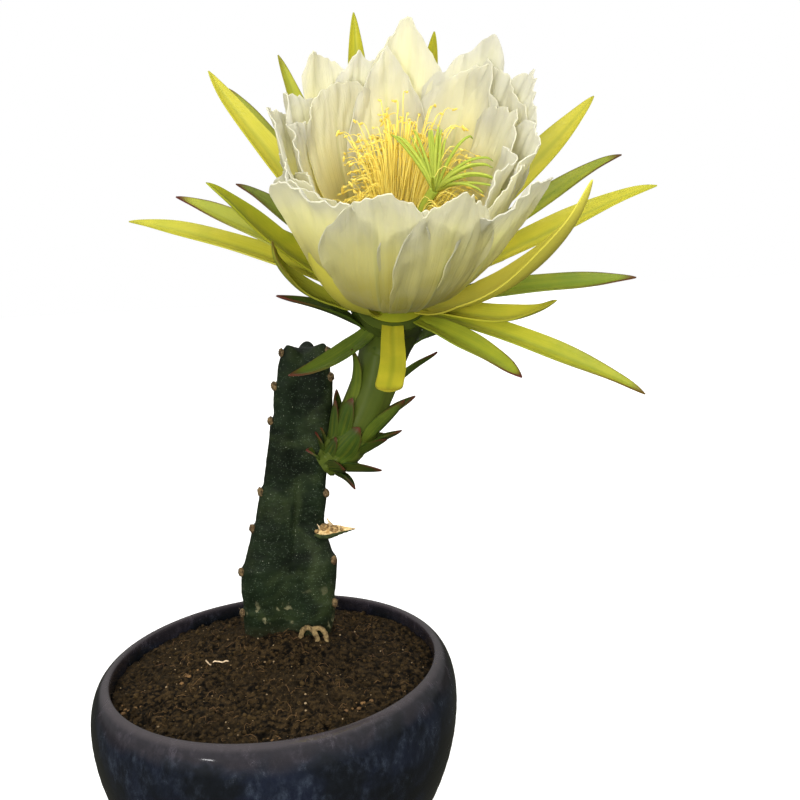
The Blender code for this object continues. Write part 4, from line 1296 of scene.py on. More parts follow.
dress(make_stub(), stub_material(), ["dried_stub"])
BUMP_CORK = cork_material("corky bumps", paint(94, 70, 40), paint(168, 138, 90), paint(44, 32, 20), 420.0)
dress(make_bumps(), BUMP_CORK)
PRONG_CORK = cork_material("prongs", paint(140, 112, 74), paint(214, 194, 156), paint(150, 112, 72))
dress(make_prongs(), PRONG_CORK)

# %% [markdown]
# ## Corky roots
# Two pale roots arch out of the soil at the stem's foot. A curve with a bevel would give smooth pipes;
# here they are tubes along the model's own points, with knots and cracks pushed into their skin.

# %% Roots
ROOT_RADIUS = 0.0016
ROOT_ROWS = 40
# The ways of the two roots: place, and height over the soil
ROOT_ARCH = (
    (0.0125, 0.0275, -0.0050),
    (0.0133, 0.0275, 0.0020),
    (0.0160, 0.0272, 0.0070),
    (0.0200, 0.0262, 0.0078),
    (0.0235, 0.0245, 0.0035),
    (0.0245, 0.0235, -0.0050),
)
ROOT_STRIP = (
    (0.0200, 0.0262, 0.0075),
    (0.0255, 0.0265, 0.0085),
    (0.0290, 0.0255, 0.0050),
    (0.0305, 0.0240, -0.0050),
)


def make_roots():
    template, around, along = skin_grid(28, 110)
    shapes = []
    for k, way in enumerate((ROOT_ARCH, ROOT_STRIP)):
        centres = smooth_path([(x, y, soil_top(x, y) + rise) for x, y, rise in way], ROOT_ROWS)
        skin = pipe(centres, np.full(ROOT_ROWS, ROOT_RADIUS))
        points = skin(around, along)
        knots = 0.00042 * bumps(points, 0.0024, k) + 0.00022 * bumps(points, 0.0010, k + 5)
        shapes.append(skin(around, along, knots))
    return merge(copies("corky_roots", template, shapes, [(0.2, 0, 0), (0.7, 0, 0)]))


ROOT_CORK = cork_material("root cork", paint(70, 56, 34), paint(132, 112, 74), paint(88, 68, 42), 380.0)
dress(make_roots(), ROOT_CORK, ["corky_root"])

# %% [markdown]
# ## The flower's frame
# The flower has a frame of its own. Its axis leans towards the viewer; az 0 faces the viewer, az 90 is
# to the right. A blade could be bent with a Simple Deform modifier, but only in one even arc. Here it
# starts at a foot near the axis and bends as its lean, the angle from the axis, changes on its way.

# %% Flower frame
THROAT = np.array((0.085, 0.020, 0.363))
FLOWER_TILT = radians(42)
FLOWER_SWING = radians(6)
OUT_RIGHT = np.array((cos(FLOWER_SWING), 0.0, -sin(FLOWER_SWING)))
UPWARDS = cos(FLOWER_TILT)
OUT = np.array((sin(FLOWER_SWING) * UPWARDS, -sin(FLOWER_TILT), cos(FLOWER_SWING) * UPWARDS))
OUT_FRONT = np.cross(OUT_RIGHT, OUT)
FLOWER = (THROAT, OUT, OUT_FRONT, OUT_RIGHT)
WRAP_RADIUS = 0.012             # a petal nearer the axis than this isn't wrapped tighter
ROOT_SINK = 0.0030              # how deep a blade's foot lies in its collar
BEND_STEPS = 160


def in_frame(place, out, side, up, az):
    """Points in a frame: out from its axis at az, sideways, and up along the axis."""
    origin, axis, front, right = place
    az = np.broadcast_to(az, np.shape(out))
    outward = np.outer(np.cos(az), front) + np.outer(np.sin(az), right)
    sideways = np.outer(np.cos(az), right) - np.outer(np.sin(az), front)
    return origin + outward * out[:, None] + sideways * side[:, None] + np.outer(up, axis)


def bend(place, az, foot, length, leans, ease, share, side, lift, wrap=0.0, curl=0.0):
    """Bends a flat blade: share is the way along its midrib, side is across it, lift is inwards."""
    fine = np.linspace(0, 1, BEND_STEPS + 1)
    lean = np.radians(leans[0] + (leans[1] - leans[0]) * fine ** ease + curl * fine ** 9)
    middle = (lean[1:] + lean[:-1]) / 2
    outs = foot[0] + np.concatenate([[0], np.cumsum(np.sin(middle))]) * length / BEND_STEPS
    ups = foot[1] + np.concatenate([[0], np.cumsum(np.cos(middle))]) * length / BEND_STEPS
    out, up, angle = (np.interp(share, fine, row) for row in (outs, ups, lean))
    az = radians(az) + wrap * side / np.maximum(out, WRAP_RADIUS)
    return in_frame(place, out - np.cos(angle) * lift, (1 - wrap) * side, up + np.sin(angle) * lift, az)


def leaf_half_width(t, width, root, peak, tip_power):
    """Half the width of a pointed blade at a share t of its length."""
    rise = root + (1 - root) * np.sin(pi / 2 * np.clip(t / peak, 0, 1))
    tip = np.maximum(0.0, 1 - (np.maximum(t - peak, 0) / (1 - peak)) ** tip_power) ** 0.75
    return width / 2 * np.where(t < peak, rise, tip)


def blade_grid(across, along, power=1.3):
    """A grid for blades, with its share across (-1 to 1) and along (0 to 1), finer near the tip."""
    template = grid(across, along)
    flat = points_of(template)
    return template, flat[:, 0], 1 - ((1 - flat[:, 1]) / 2) ** power


print("flower axis", np.round(OUT, 3))

# %% [markdown]
# ## The green of leaves
# Scales and sepals share one kind of skin: a body between yellow and green, greener outside and towards
# the tip, maroon at the tip and along the margins, and fine parallel veins. Each blade could have a
# material of its own; instead its mark carries its green, its maroon and its paleness, and one material
# reads them. A translucent part lets the light through, as it does through a thin leaf.

# %% Leaf material
MAROON = paint(84, 38, 28)
PALE_YELLOW = paint(232, 222, 92)
NEAR_TIP = 0.97                 # share of the length from which a tip is all maroon


def leaf_material(name, yellow, olive, green, dark, gloss, through, red_from=0.84):
    mat, tree, shader = new_material(name)
    across, along = map_shares(tree)
    mark = mark_of(tree)
    share = calc(tree, "ADD", mark["X"], times(tree, cloud_mask(tree, 60.0, 4.0, 0.3, 0.7), 0.14))
    share = calc(tree, "ADD", share, times(tree, along, 0.10))
    share = calc(tree, "ADD", share, times(tree, outer_side(tree), 0.08), clamp=True)
    body = ramp(tree, share, ((0.0, yellow), (0.38, olive), (0.70, green), (1.0, dark)))
    veins = vein_height(tree, 26.0, 0.8, 0.02)
    calm = span(tree, along, 0.95, 0.45)
    body = wash(tree, body, times(tree, span(tree, veins, 0.38, 0.62), calm), 0.13, yellow)
    rib = from_midrib(tree, across)
    body = wash(tree, body, span(tree, rib, 0.16, 0.02), 0.30, green)
    body = wash(tree, body, mark["Z"], span(tree, along, 0.0, 0.45, 0.35, 1.0), PALE_YELLOW)
    margin = times(tree, span(tree, rib, 0.430, 0.495), span(tree, along, 0.35, 0.92))
    red = calc(tree, "MAXIMUM", span(tree, along, red_from, NEAR_TIP), margin)
    body = mixed(tree, calc(tree, "MULTIPLY", red, mark["Y"], clamp=True), body, MAROON)
    plug(tree, shader, {"Base Color": body, "Roughness": gloss})
    plug(tree, shader, {"Coat Weight": 0.15, "Coat Roughness": 0.25})
    normal = roughen(tree, shader, times(tree, veins, calm), 0.30, 0.0006)
    let_through(tree, shader, {"Color": body, "Normal": normal}, through)
    return mat


print("a leaf turns maroon at", NEAR_TIP, "of its length")

# %% [markdown]
# ## The flower tube
# The tube grows out of the stem's right rib and swells towards the flower, and scales overlap along it.
# They could be placed by hand on a curve's skin; here the tube is a wrapped grid with a frame at every
# share of its length, so each scale is one row of a table: where it grows, how it leans, and its colour.

# %% Tube measures
TUBE_PATH = (
    (0.0340, 0.0420, 0.2535),
    (0.0440, 0.0410, 0.2605),
    (0.0535, 0.0410, 0.2740),
    (0.0635, 0.0410, 0.2920),
    (0.0715, 0.0405, 0.3100),
    (0.0780, 0.0420, 0.3280),
    (0.0825, 0.0380, 0.3425),
)
TUBE_RADII = (0.0075, 0.0115, 0.0140, 0.0140, 0.0140, 0.0155, 0.0188, 0.0228)
TUBE_TOP = -0.012
SCALE_CHANNEL = 0.40
SCALE_SHAPE = (0.8, 0.36, 1.8)
SCALE_PLUMP = 1.1
# Scales: share of the tube, az, length, lean at foot and tip, ease, width, then green and maroon
SCALES = (
    (0.20, 300, 0.027, 32, 22, 1.0, 0.0110, 0.66, 0.9),
    (0.24, 326, 0.029, 28, 12, 1.0, 0.0120, 0.62, 0.9),
    (0.13, 352, 0.027, 22, 8, 1.0, 0.0150, 0.60, 0.9),
    (0.08, 318, 0.016, 40, 20, 1.0, 0.0100, 0.70, 0.8),
    (0.12, 272, 0.015, 52, 74, 1.0, 0.0090, 0.78, 1.0),
    (0.07, 285, 0.014, 62, 88, 1.0, 0.0085, 0.74, 1.0),
    (0.02, 300, 0.011, 88, 112, 1.0, 0.0080, 0.78, 1.0),
    (0.28, 48, 0.038, 20, 16, 1.0, 0.0125, 0.44, 0.9),
    (0.25, 86, 0.026, 34, 40, 1.0, 0.0115, 0.66, 0.9),
    (0.21, 62, 0.022, 32, 30, 1.0, 0.0115, 0.74, 0.7),
    (0.09, 52, 0.030, 38, 38, 1.0, 0.0125, 0.78, 0.8),
    (0.03, 72, 0.019, 45, 92, 1.0, 0.0095, 0.86, 0.9),
    (0.04, 20, 0.016, 46, 46, 1.0, 0.0105, 0.80, 0.7),
    (0.06, 120, 0.018, 34, 62, 1.0, 0.0110, 0.76, 0.9),
    (0.10, 170, 0.018, 34, 60, 1.0, 0.0110, 0.70, 0.9),
    (0.12, 222, 0.018, 32, 60, 1.0, 0.0110, 0.72, 0.9),
    (0.19, 128, 0.024, 30, 44, 1.0, 0.0120, 0.66, 0.8),
    (0.20, 190, 0.024, 30, 42, 1.0, 0.0120, 0.66, 0.9),
    (0.24, 243, 0.026, 28, 30, 1.0, 0.0120, 0.62, 0.9),
    (0.30, 150, 0.030, 22, 36, 1.0, 0.0120, 0.60, 0.9),
    (0.33, 210, 0.030, 22, 36, 1.0, 0.0120, 0.60, 0.9),
    (0.35, 105, 0.032, 22, 36, 1.0, 0.0115, 0.54, 0.9),
    (0.40, 312, 0.040, 12, 62, 2.0, 0.0085, 0.30, 0.7),
    (0.56, 75, 0.034, 26, 46, 1.0, 0.0095, 0.50, 1.0),
    (0.62, 190, 0.030, 20, 45, 1.0, 0.0120, 0.66, 0.8),
    (0.76, 281, 0.040, 44, 30, 1.0, 0.0105, 0.66, 1.0),
    (0.66, 338, 0.018, 10, 18, 1.0, 0.0110, 0.70, 1.0),
    (0.76, 100, 0.046, 50, 72, 1.0, 0.0120, 0.58, 0.9),
    (0.80, 150, 0.036, 35, 60, 1.0, 0.0120, 0.78, 0.6),
    (0.80, 293, 0.061, 64, 90, 1.0, 0.0130, 0.62, 1.0),
    (0.86, 215, 0.048, 45, 70, 1.0, 0.0130, 0.70, 0.7),
    (0.88, 85, 0.058, 62, 80, 1.0, 0.0130, 0.76, 0.6),
    (0.84, 316, 0.062, 135, 88, 0.7, 0.0120, 0.50, 0.9),
)
SCALE_SINK = 0.0012
SCALE_THICKNESS = 0.0012
SCALE_KEEL = 0.0011
SCALE_CURL = -30                # degrees by which the tips turn in, at most
TUBE_WAVE = 0.0002
TUBE_RIDGE = 0.0011             # height of the ridge below each scale
TUBE_RIDGE_REACH = 0.22         # how far it runs down, as a share of the tube
TUBE_ROWS = 121
tube_share = np.linspace(0, 1, TUBE_ROWS)
tube_centres = smooth_path(TUBE_PATH + (tuple(THROAT + OUT * TUBE_TOP),), TUBE_ROWS)
tube_axes = np.gradient(tube_centres, axis=0)
tube_axes /= np.linalg.norm(tube_axes, axis=1)[:, None]
near_top = smooth(tube_share, 0.9, 1)[:, None]
tube_axes = tube_axes * (1 - near_top) + near_top * OUT
tube_rights = np.cross(tube_axes, (0.0, -1.0, 0.0))
tube_rights /= np.linalg.norm(tube_rights, axis=1)[:, None]
tube_fronts = np.cross(tube_rights, tube_axes)
tube_radii = np.interp(tube_share, np.linspace(0, 1, len(TUBE_RADII)), TUBE_RADII)
print(len(SCALES), "scales on the tube")

# %% Tube and scales


def tube_frame(share):
    """The frame of the tube at a share of its length, and its radius there."""
    k = int(round(share * (TUBE_ROWS - 1)))
    return (tube_centres[k], tube_axes[k], tube_fronts[k], tube_rights[k]), tube_radii[k]


def make_tube():
    template, az, along = skin_grid(96, 150)
    radius = np.interp(along, tube_share, tube_radii)
    swell = TUBE_WAVE * np.sin(9 * az + 6 * along)
    for row in SCALES:
        share, scale_az, width = row[0], row[1], row[6]
        apart = (az - radians(scale_az) + pi) % (2 * pi) - pi
        below = np.clip((share - along) / TUBE_RIDGE_REACH, 0, 1)
        ridge = np.exp(-(apart * radius / (width * 0.30)) ** 2)
        swell += TUBE_RIDGE * ridge * np.where(along < share, (1 - below) ** 1.5, 0)
    radius = (radius + swell * np.clip((1 - along) * 12, 0, 1)) * closed_ends(along)
    outward = read_rows(tube_fronts, tube_share, along) * np.cos(az)[:, None]
    outward += read_rows(tube_rights, tube_share, along) * np.sin(az)[:, None]
    points = read_rows(tube_centres, tube_share, along) + outward * radius[:, None]
    return merge(copies("flower_tube_skin", template, [points], [(0.62, 0.0, 0.0)]), 0.00001)


def make_scales():
    template, u, t = blade_grid(12, 28)
    shapes, marks = [], []
    for k, (share, az, length, low, high, ease, width, tint, blush) in enumerate(SCALES):
        place, radius = tube_frame(share)
        half = np.maximum(leaf_half_width(t, SCALE_PLUMP * width, *SCALE_SHAPE), 0.00012)
        lift = half * SCALE_CHANNEL * np.minimum(1.0, 4 * t) * u * u
        lift -= SCALE_KEEL * np.exp(-(u / 0.30) ** 2) * (1 - t) * smooth(t, 0.0, 0.25)
        side = half * u + 0.0012 * t ** 3 * sin(2.1 * k)
        foot = (radius - SCALE_SINK, 0.0)
        curl = SCALE_CURL * (0.3 + 0.7 * sin(k) ** 2)
        shapes.append(bend(place, az, foot, length, (low, high), ease, t, side, lift, curl=curl))
        marks.append((tint, blush, 0.0))
    return thicken(copies("flower_tube_scales", template, shapes, marks), SCALE_THICKNESS)


SCALE_SKIN = leaf_material("scale skin", paint(150, 146, 38), paint(90, 103, 30), paint(54, 75, 22),
                           paint(30, 45, 15), gloss=0.40, through=0.10, red_from=0.70)
TUBE_SKIN = leaf_material("tube skin", paint(106, 112, 38), paint(84, 95, 30), paint(66, 78, 24),
                          paint(44, 58, 18), gloss=0.50, through=0.05)
dress(make_tube(), TUBE_SKIN, ["flower_tube"])
dress(make_scales(), SCALE_SKIN)

# %% [markdown]
# ## Sepals
# The long outer leaves of the flower are channelled blades. The outer ring is mostly green with maroon
# tips, the inner ring yellow. A curve with a flat bevel could draw them, but it would be the same on
# both sides; here one grid is copied for every row of the tables and gets a keel outside, a channel
# inside, a slight twist and a tapering, hooked tip.

# %% Sepal measures
OUTER_COLLAR = (-0.0117, -0.0055, 0.0228, 0.0222)
INNER_COLLAR = (-0.0052, 0.0010, 0.0218, 0.0205)
PETAL_COLLAR = (0.0013, 0.0090, 0.0195, 0.0175)
# Kinds: outline (width of the foot, place of the widest, bluntness), channel, curl, and paleness if fixed
SEPAL_OUTLINE = (0.55, 0.45, 2.2)
POINTED = (SEPAL_OUTLINE, 0.45, 14, None)
HUGGING = (SEPAL_OUTLINE, 0.45, 14, 0.85)       # the two that lie along the cup
BLUNT = ((0.84, 0.87, 3.0), 0.0, 0, None)       # the strip that hangs at the front
SEPAL_KEEL = 0.0008
SEPAL_WAVE = 0.0006
SEPAL_SWAY = 0.0022
SEPAL_THICKNESS = 0.0009
# Sepals: az, length, lean at foot and tip, ease, width, kind, then green and maroon
OUTER_SEPALS = (
    (262, 0.142, 64, 92, 1.0, 0.015, POINTED, 0.12, 0.1),
    (236, 0.103, 68, 80, 1.0, 0.013, POINTED, 0.72, 0.9),
    (288, 0.084, 76, 4, 1.0, 0.016, POINTED, 0.36, 0.7),
    (222, 0.156, 62, 74, 1.0, 0.014, POINTED, 0.46, 0.7),
    (214, 0.146, 66, 46, 0.7, 0.014, POINTED, 0.20, 0.3),
    (152, 0.120, 66, 84, 1.0, 0.014, POINTED, 0.40, 0.4),
    (125, 0.157, 68, 80, 1.0, 0.014, POINTED, 0.40, 0.9),
    (112, 0.056, 70, 76, 1.0, 0.013, POINTED, 0.92, 0.3),
    (90, 0.121, 74, 78, 1.0, 0.015, POINTED, 0.50, 0.9),
    (64, 0.136, 76, 100, 1.0, 0.015, POINTED, 0.24, 0.8),
    (45, 0.080, 72, 86, 1.0, 0.015, POINTED, 0.42, 1.0),
    (1, 0.069, 80, 66, 1.0, 0.0150, BLUNT, 0.03, 0.35),
    (188, 0.110, 66, 82, 1.0, 0.014, POINTED, 0.60, 0.5),
)
INNER_SEPALS = (
    (258, 0.118, 64, 78, 1.0, 0.016, POINTED, 0.44, 1.0),
    (272, 0.112, 66, 30, 0.8, 0.018, POINTED, 0.22, 0.0),
    (231, 0.150, 62, 54, 1.0, 0.018, POINTED, 0.04, 0.0),
    (196, 0.148, 64, 26, 0.6, 0.015, POINTED, 0.05, 0.0),
    (172, 0.138, 64, 24, 0.6, 0.015, POINTED, 0.08, 0.0),
    (130, 0.150, 62, 60, 1.0, 0.021, POINTED, 0.04, 0.1),
    (102, 0.143, 64, 62, 1.0, 0.017, POINTED, 0.06, 0.0),
    (60, 0.158, 76, 9, 0.6, 0.029, HUGGING, 0.02, 0.0),
    (322, 0.116, 75, 4, 0.5, 0.026, HUGGING, 0.10, 0.0),
    (58, 0.094, 70, 20, 3.0, 0.016, POINTED, 0.14, 0.3),
)
print(len(OUTER_SEPALS), "outer and", len(INNER_SEPALS), "inner sepals")

# %% Sepals and their rings


def collar_grid(name, size, mark):
    """The ring from which a whorl of blades grows: a short band, closed at both ends, from its low radius
    to its high one.
    """
    template, az, along = skin_grid(64, 8)
    bottom, top, low_radius, high_radius = size
    inside = np.clip((along - 0.125) / 0.75, 0, 1)
    radius = (low_radius + (high_radius - low_radius) * inside) * closed_ends(along)
    up = bottom + (top - bottom) * inside
    return merge(copies(name, template, [in_frame(FLOWER, radius, 0 * az, up, az)], [mark]), 0.00001)


def make_sepals(name, size, rows):
    template, u, t = blade_grid(12, 60)
    bottom, top, low_radius, high_radius = size
    foot = ((low_radius + high_radius) / 2 - ROOT_SINK, (bottom + top) / 2)
    shapes, marks = [], []
    for k, (az, length, low, high, ease, width, kind, tint, blush) in enumerate(rows):
        outline, channel, most_curl, pale = kind
        half = np.maximum(leaf_half_width(t, width, *outline), 0.00016)
        lift = half * channel * np.minimum(1.0, 4 * t) * u * u
        lift -= SEPAL_KEEL * np.exp(-(u / 0.16) ** 2) * (1 - t) * smooth(t, 0.0, 0.1)
        lift += SEPAL_WAVE * t * np.sin(14 * t + 2 * k) * u * smooth(1 - t, 0.0, 0.15)
        side = half * u + SEPAL_SWAY * t ** 2 * np.sin(5 * t + 1.7 * k)
        curl = most_curl * sin(2.4 * k)
        length += ROOT_SINK
        shapes.append(bend(FLOWER, az, foot, length, (low, high), ease, t, side, lift, curl=curl))
        marks.append((tint, blush, 0.25 * rng.random() if pale is None else pale))
    return thicken(copies(name, template, shapes, marks), SEPAL_THICKNESS)


SEPAL_SKIN = leaf_material("sepal skin", paint(192, 180, 48), paint(148, 152, 34), paint(98, 121, 32),
                           paint(54, 76, 26), gloss=0.40, through=0.18)
outer_sepals = make_sepals("outer_sepal_blades", OUTER_COLLAR, OUTER_SEPALS)
dress(outer_sepals, SEPAL_SKIN, ["outer_sepals"])
dress(collar_grid("outer_sepal_ring", OUTER_COLLAR, (0.62, 0, 0)), TUBE_SKIN)
inner_sepals = make_sepals("inner_sepal_blades", INNER_COLLAR, INNER_SEPALS)
dress(inner_sepals, SEPAL_SKIN, ["inner_sepals"])
dress(collar_grid("inner_sepal_ring", INNER_COLLAR, (0.20, 0, 0)), SEPAL_SKIN)

# %% [markdown]
# ## Petals
# The cup is two rings of broad petals. Each is a blade wrapped round the flower's axis, with a blunt,
# ragged top, soft pleats along its length, a groove over the midrib and a crisp frill at the margin.
# Cloth simulation could wrinkle them, but waves along the blade keep the cup open and repeatable.

# %% Petal measures
FRONT_AZ = 9                    # a narrow petal that lies on its neighbours at the front
FRONT_OUT = 0.0016
# Petals: az, length, lean at foot and tip, width, phase, fall of the rim, place of its apex, and curl
OUTER_PETALS = (
    (335, 0.153, 71, 3, 0.050, 0.0, 0.05, -0.6, 44),
    (353, 0.168, 72, 4, 0.050, 1.1, 0.19, 0.2, 12),
    (FRONT_AZ, 0.145, 73, 4, 0.040, 0.6, 0.08, -0.1, 4),
    (17, 0.167, 72, 4, 0.048, 1.3, 0.19, 0.0, 12),
    (38, 0.154, 71, 5, 0.054, 2.9, 0.10, 0.5, 34),
    (60, 0.130, 65, 2, 0.046, 1.9, 0.10, 0.0, 10),
    (83, 0.132, 60, 4, 0.050, 3.1, 0.06, -0.3, 12),
    (107, 0.143, 60, 3, 0.046, 0.4, 0.20, 0.4, 24),
    (124, 0.133, 60, 3, 0.052, 1.0, 0.05, 0.5, 8),
    (157, 0.150, 59, 3, 0.056, 0.4, 0.36, -0.8, 4),
    (178, 0.146, 58, 4, 0.056, 2.2, 0.27, 0.1, 8),
    (198, 0.130, 58, 3, 0.050, 2.6, 0.20, 0.3, 8),
    (214, 0.140, 60, 3, 0.050, 0.9, 0.25, 0.8, 4),
    (240, 0.130, 60, 3, 0.052, 2.0, 0.22, 0.8, 12),
    (266, 0.134, 60, 3, 0.050, 3.3, 0.20, 0.4, 12),
    (294, 0.120, 64, 2, 0.050, 0.7, 0.10, 0.3, 14),
    (312, 0.127, 68, 2, 0.048, 2.4, 0.10, 0.0, 14),
)
INNER_PETALS = (
    (226, 0.116, 60, 2, 0.052, 0.5, 0.05, 0.0, 6),
    (190, 0.129, 58, 2, 0.050, 1.7, 0.27, 0.0, 8),
    (146, 0.133, 58, 4, 0.054, 2.8, 0.24, -0.4, 8),
    (106, 0.122, 60, 3, 0.050, 0.2, 0.10, 0.0, 12),
    (72, 0.118, 62, 2, 0.048, 1.2, 0.08, 0.0, 10),
    (28, 0.112, 66, 2, 0.048, 2.2, 0.12, 0.0, 8),
    (345, 0.112, 66, 2, 0.048, 3.0, 0.12, 0.0, 8),
    (306, 0.110, 64, 2, 0.046, 0.8, 0.10, 0.0, 12),
    (268, 0.116, 62, 2, 0.044, 1.4, 0.10, 0.0, 12),
)
OUTER_FOOT = (0.0150, 0.0034)    # out from the flower's axis, and up
INNER_FOOT = (0.0120, 0.0065)
PETAL_EASE = 0.52
PETAL_ROOT = 0.34               # width at the foot, as a share of the widest
PETAL_CORNER = 0.07             # how far the rim's corners are rounded off
PETAL_CHANNEL = 0.02
PETAL_SKEW = 0.055
PETAL_WRAP = 0.95
PETAL_THICKNESS = 0.0006
INNER_SEED = 20                 # gives the inner petals folds of their own
RAGGED_RIM = 0.040
SWAYING_SIDE = 0.03
PLEAT = 0.0010                  # depths of what the blade carries, from the broadest to the finest
FOLD = 0.0024
FINE_FOLD = 0.0014
CREASE = 0.0022
FRILL = 0.0014
FINE_FRILL = 0.0005
MIDRIB_GROOVE = 0.0007
ROLLED_EDGE = 0.0022
print(len(OUTER_PETALS), "outer and", len(INNER_PETALS), "inner petals")

# %% Petal shape


def crumple(u, t, across, along, seed):
    """Noise over a petal, of which a low number across or along makes long folds."""
    return np.array([noise.noise(Vector((across * a, along * b, seed))) for a, b in zip(u, t)])


def petal(u, t, k, inner, az, length, low, high, width, phase, fall, apex, curl):
    """The points of one petal."""
    half = width / 2 * (PETAL_ROOT + (1 - PETAL_ROOT) * np.sin(pi / 2 * t))
    margin = np.maximum(smooth(t, 0.76, 1.0), smooth(np.abs(u), 0.80, 1.0) * smooth(t, 0.45, 0.85))
    ragged = crumple(u, 0 * t, 4.5, 0, 1.3 * k)
    folds = crumple(u, t, 2.8, 0.9, 2.1 * k)
    fine = crumple(u, t, 8.5, 1.2, 3.7 * k)
    share = t * (1 - fall * np.abs(u - apex) / (1 + abs(apex)) - PETAL_CORNER * np.abs(u) ** 7)
    share -= RAGGED_RIM * np.abs(ragged) * t ** 8
    side = u * half * (1 + SWAYING_SIDE * np.sin(21 * t + phase) * smooth(t, 0.4, 0.9))
    open_out = smooth(t, 0.12, 0.8)
    lift = half * (PETAL_CHANNEL * np.minimum(1.0, 4 * t) * u * u + PETAL_SKEW * u)
    lift += PLEAT * t * t * np.sin(4.5 * u + 9 * t + phase)
    lift += open_out * (FOLD * np.abs(folds) + FINE_FOLD * t * np.abs(fine))
    lift += CREASE * smooth(t, 0.45, 1.0) * np.abs(crumple(u + 0.4 * t, t, 4.4, 5.0, 5.3 * k))
    lift += FRILL * margin ** 1.5 * np.sin(6 * u + 5 * t + 5 * phase)
    lift += FINE_FRILL * margin * np.sin(17 * u + 3 * phase)
    lift -= MIDRIB_GROOVE * np.exp(-(u / 0.06) ** 2) * smooth(t, 0.05, 0.3)
    lift -= ROLLED_EDGE * smooth(np.abs(u), 0.84, 1.05) * smooth(t, 0.6, 0.95) * (1 + 0.6 * sin(3 * phase))
    if az == FRONT_AZ:
        lift -= FRONT_OUT * smooth(t, 0.1, 0.5)
    foot = INNER_FOOT if inner else OUTER_FOOT
    return bend(FLOWER, az, foot, length, (low, high), PETAL_EASE, share, side, lift, PETAL_WRAP, curl)


def make_petals(name, inner, rows):
    template, u, t = blade_grid(44, 62, 1.25)
    shapes = [petal(u, t, k + INNER_SEED * inner, inner, *row) for k, row in enumerate(rows)]
    marks = [(0.5 + 0.5 * sin(2.7 * k + inner), float(inner), rng.random()) for k in range(len(rows))]
    return thicken(copies(name, template, shapes, marks), PETAL_THICKNESS)


print("a petal is", round(PETAL_THICKNESS * 1000, 1), "mm thick")

# %% Petal material
PETAL_INSIDE = ((0.10, paint(242, 226, 78)), (0.42, paint(255, 246, 168)), (0.72, paint(254, 251, 224)),
                (1.0, paint(228, 226, 218)))
PETAL_OUTSIDE = ((0.12, paint(176, 172, 14)), (0.36, paint(212, 205, 48)), (0.60, paint(230, 226, 154)),
                 (1.0, paint(218, 216, 198)))
PETAL_GLOW = 0.58               # share of the light that passes through


def petal_material():
    mat, tree, shader = new_material("petal")
    across, along = map_shares(tree)
    cloud = cloud_mask(tree, 26.0, 3.0, 0.3, 0.7)
    reach = calc(tree, "ADD", along, times(tree, cloud, 0.12))
    body = mixed(tree, outer_side(tree), ramp(tree, reach, PETAL_INSIDE), ramp(tree, reach, PETAL_OUTSIDE))
    veins = vein_height(tree, 46.0, 1.1, 0.05)
    body = wash(tree, body, span(tree, veins, 0.40, 0.60), 0.10, paint(222, 226, 178))
    rib = from_midrib(tree, across)
    rib_fades = span(tree, along, 0.95, 0.3, 0.0, 0.5)
    body = wash(tree, body, span(tree, rib, 0.035, 0.0), rib_fades, paint(206, 212, 140))
    body = wash(tree, body, mark_of(tree)["X"], 0.18, paint(238, 232, 178))
    plug(tree, shader, {"Base Color": body, "Roughness": 0.48})
    plug(tree, shader, {"Specular IOR Level": 0.35, "Sheen Weight": 0.12})
    crepe = times(tree, vein_height(tree, 15.0, 8.0, 0.35), span(tree, along, 0.35, 1.0, 0.2, 2.2))
    normal = roughen(tree, shader, calc(tree, "ADD", veins, crepe), 0.30, 0.0010)
    let_through(tree, shader, {"Color": body, "Normal": normal}, PETAL_GLOW)
    return mat


PETAL = petal_material()
dress(make_petals("outer_petal_blades", 0, OUTER_PETALS), PETAL, ["petals"])
dress(make_petals("inner_petal_blades", 1, INNER_PETALS), PETAL, ["petals"])
dress(collar_grid("petal_ring", PETAL_COLLAR, (0.8, 0, 0)), PETAL)

# %% [markdown]
# ## Stamens
# Hundreds of golden threads rise from inside the cup, most of them to the back and left, and bend over
# at their ends, where each bears a small anther. Hair could draw the threads, but not as closed meshes,
# so they are thin tubes copied from one wrapped grid, set out by the golden angle as a plant does it.

# %% Stamen paths
GOLDEN_ANGLE = 137.5
STAMEN_COUNT = 380
STAMEN_ROWS = 14
STAMEN_CORE = (0.0093, 0.0170, 0.0120, 0.0090)
STAMEN_RADIUS = 0.00030
STAMEN_REACH = 0.012
OUTER_REACH = 0.015             # what the outermost reach farther than the innermost
BACK_REACH = 0.006
LEFT_CROWDING = 0.50            # share of the reach that is missing at the left
STAMEN_HEIGHT = 0.042
BACK_HEIGHT = 0.032
UNEVEN_HEIGHT = 0.011
STAMEN_START = (0.0030, 0.0050)         # from the axis for the innermost, and how much is added
STAMEN_SWAY = 0.008
STAMEN_DENSE = radians(-18)     # turns the side of the cup where they crowd: the left and back
STAMEN_RISE = np.array(((0.0, 0.0), (0.30, 0.42), (0.62, 0.76), (0.88, 0.97), (1.0, 1.0)))      # out, up
ANTHER_SIZE = np.array((0.0019, 0.00075, 0.0006))


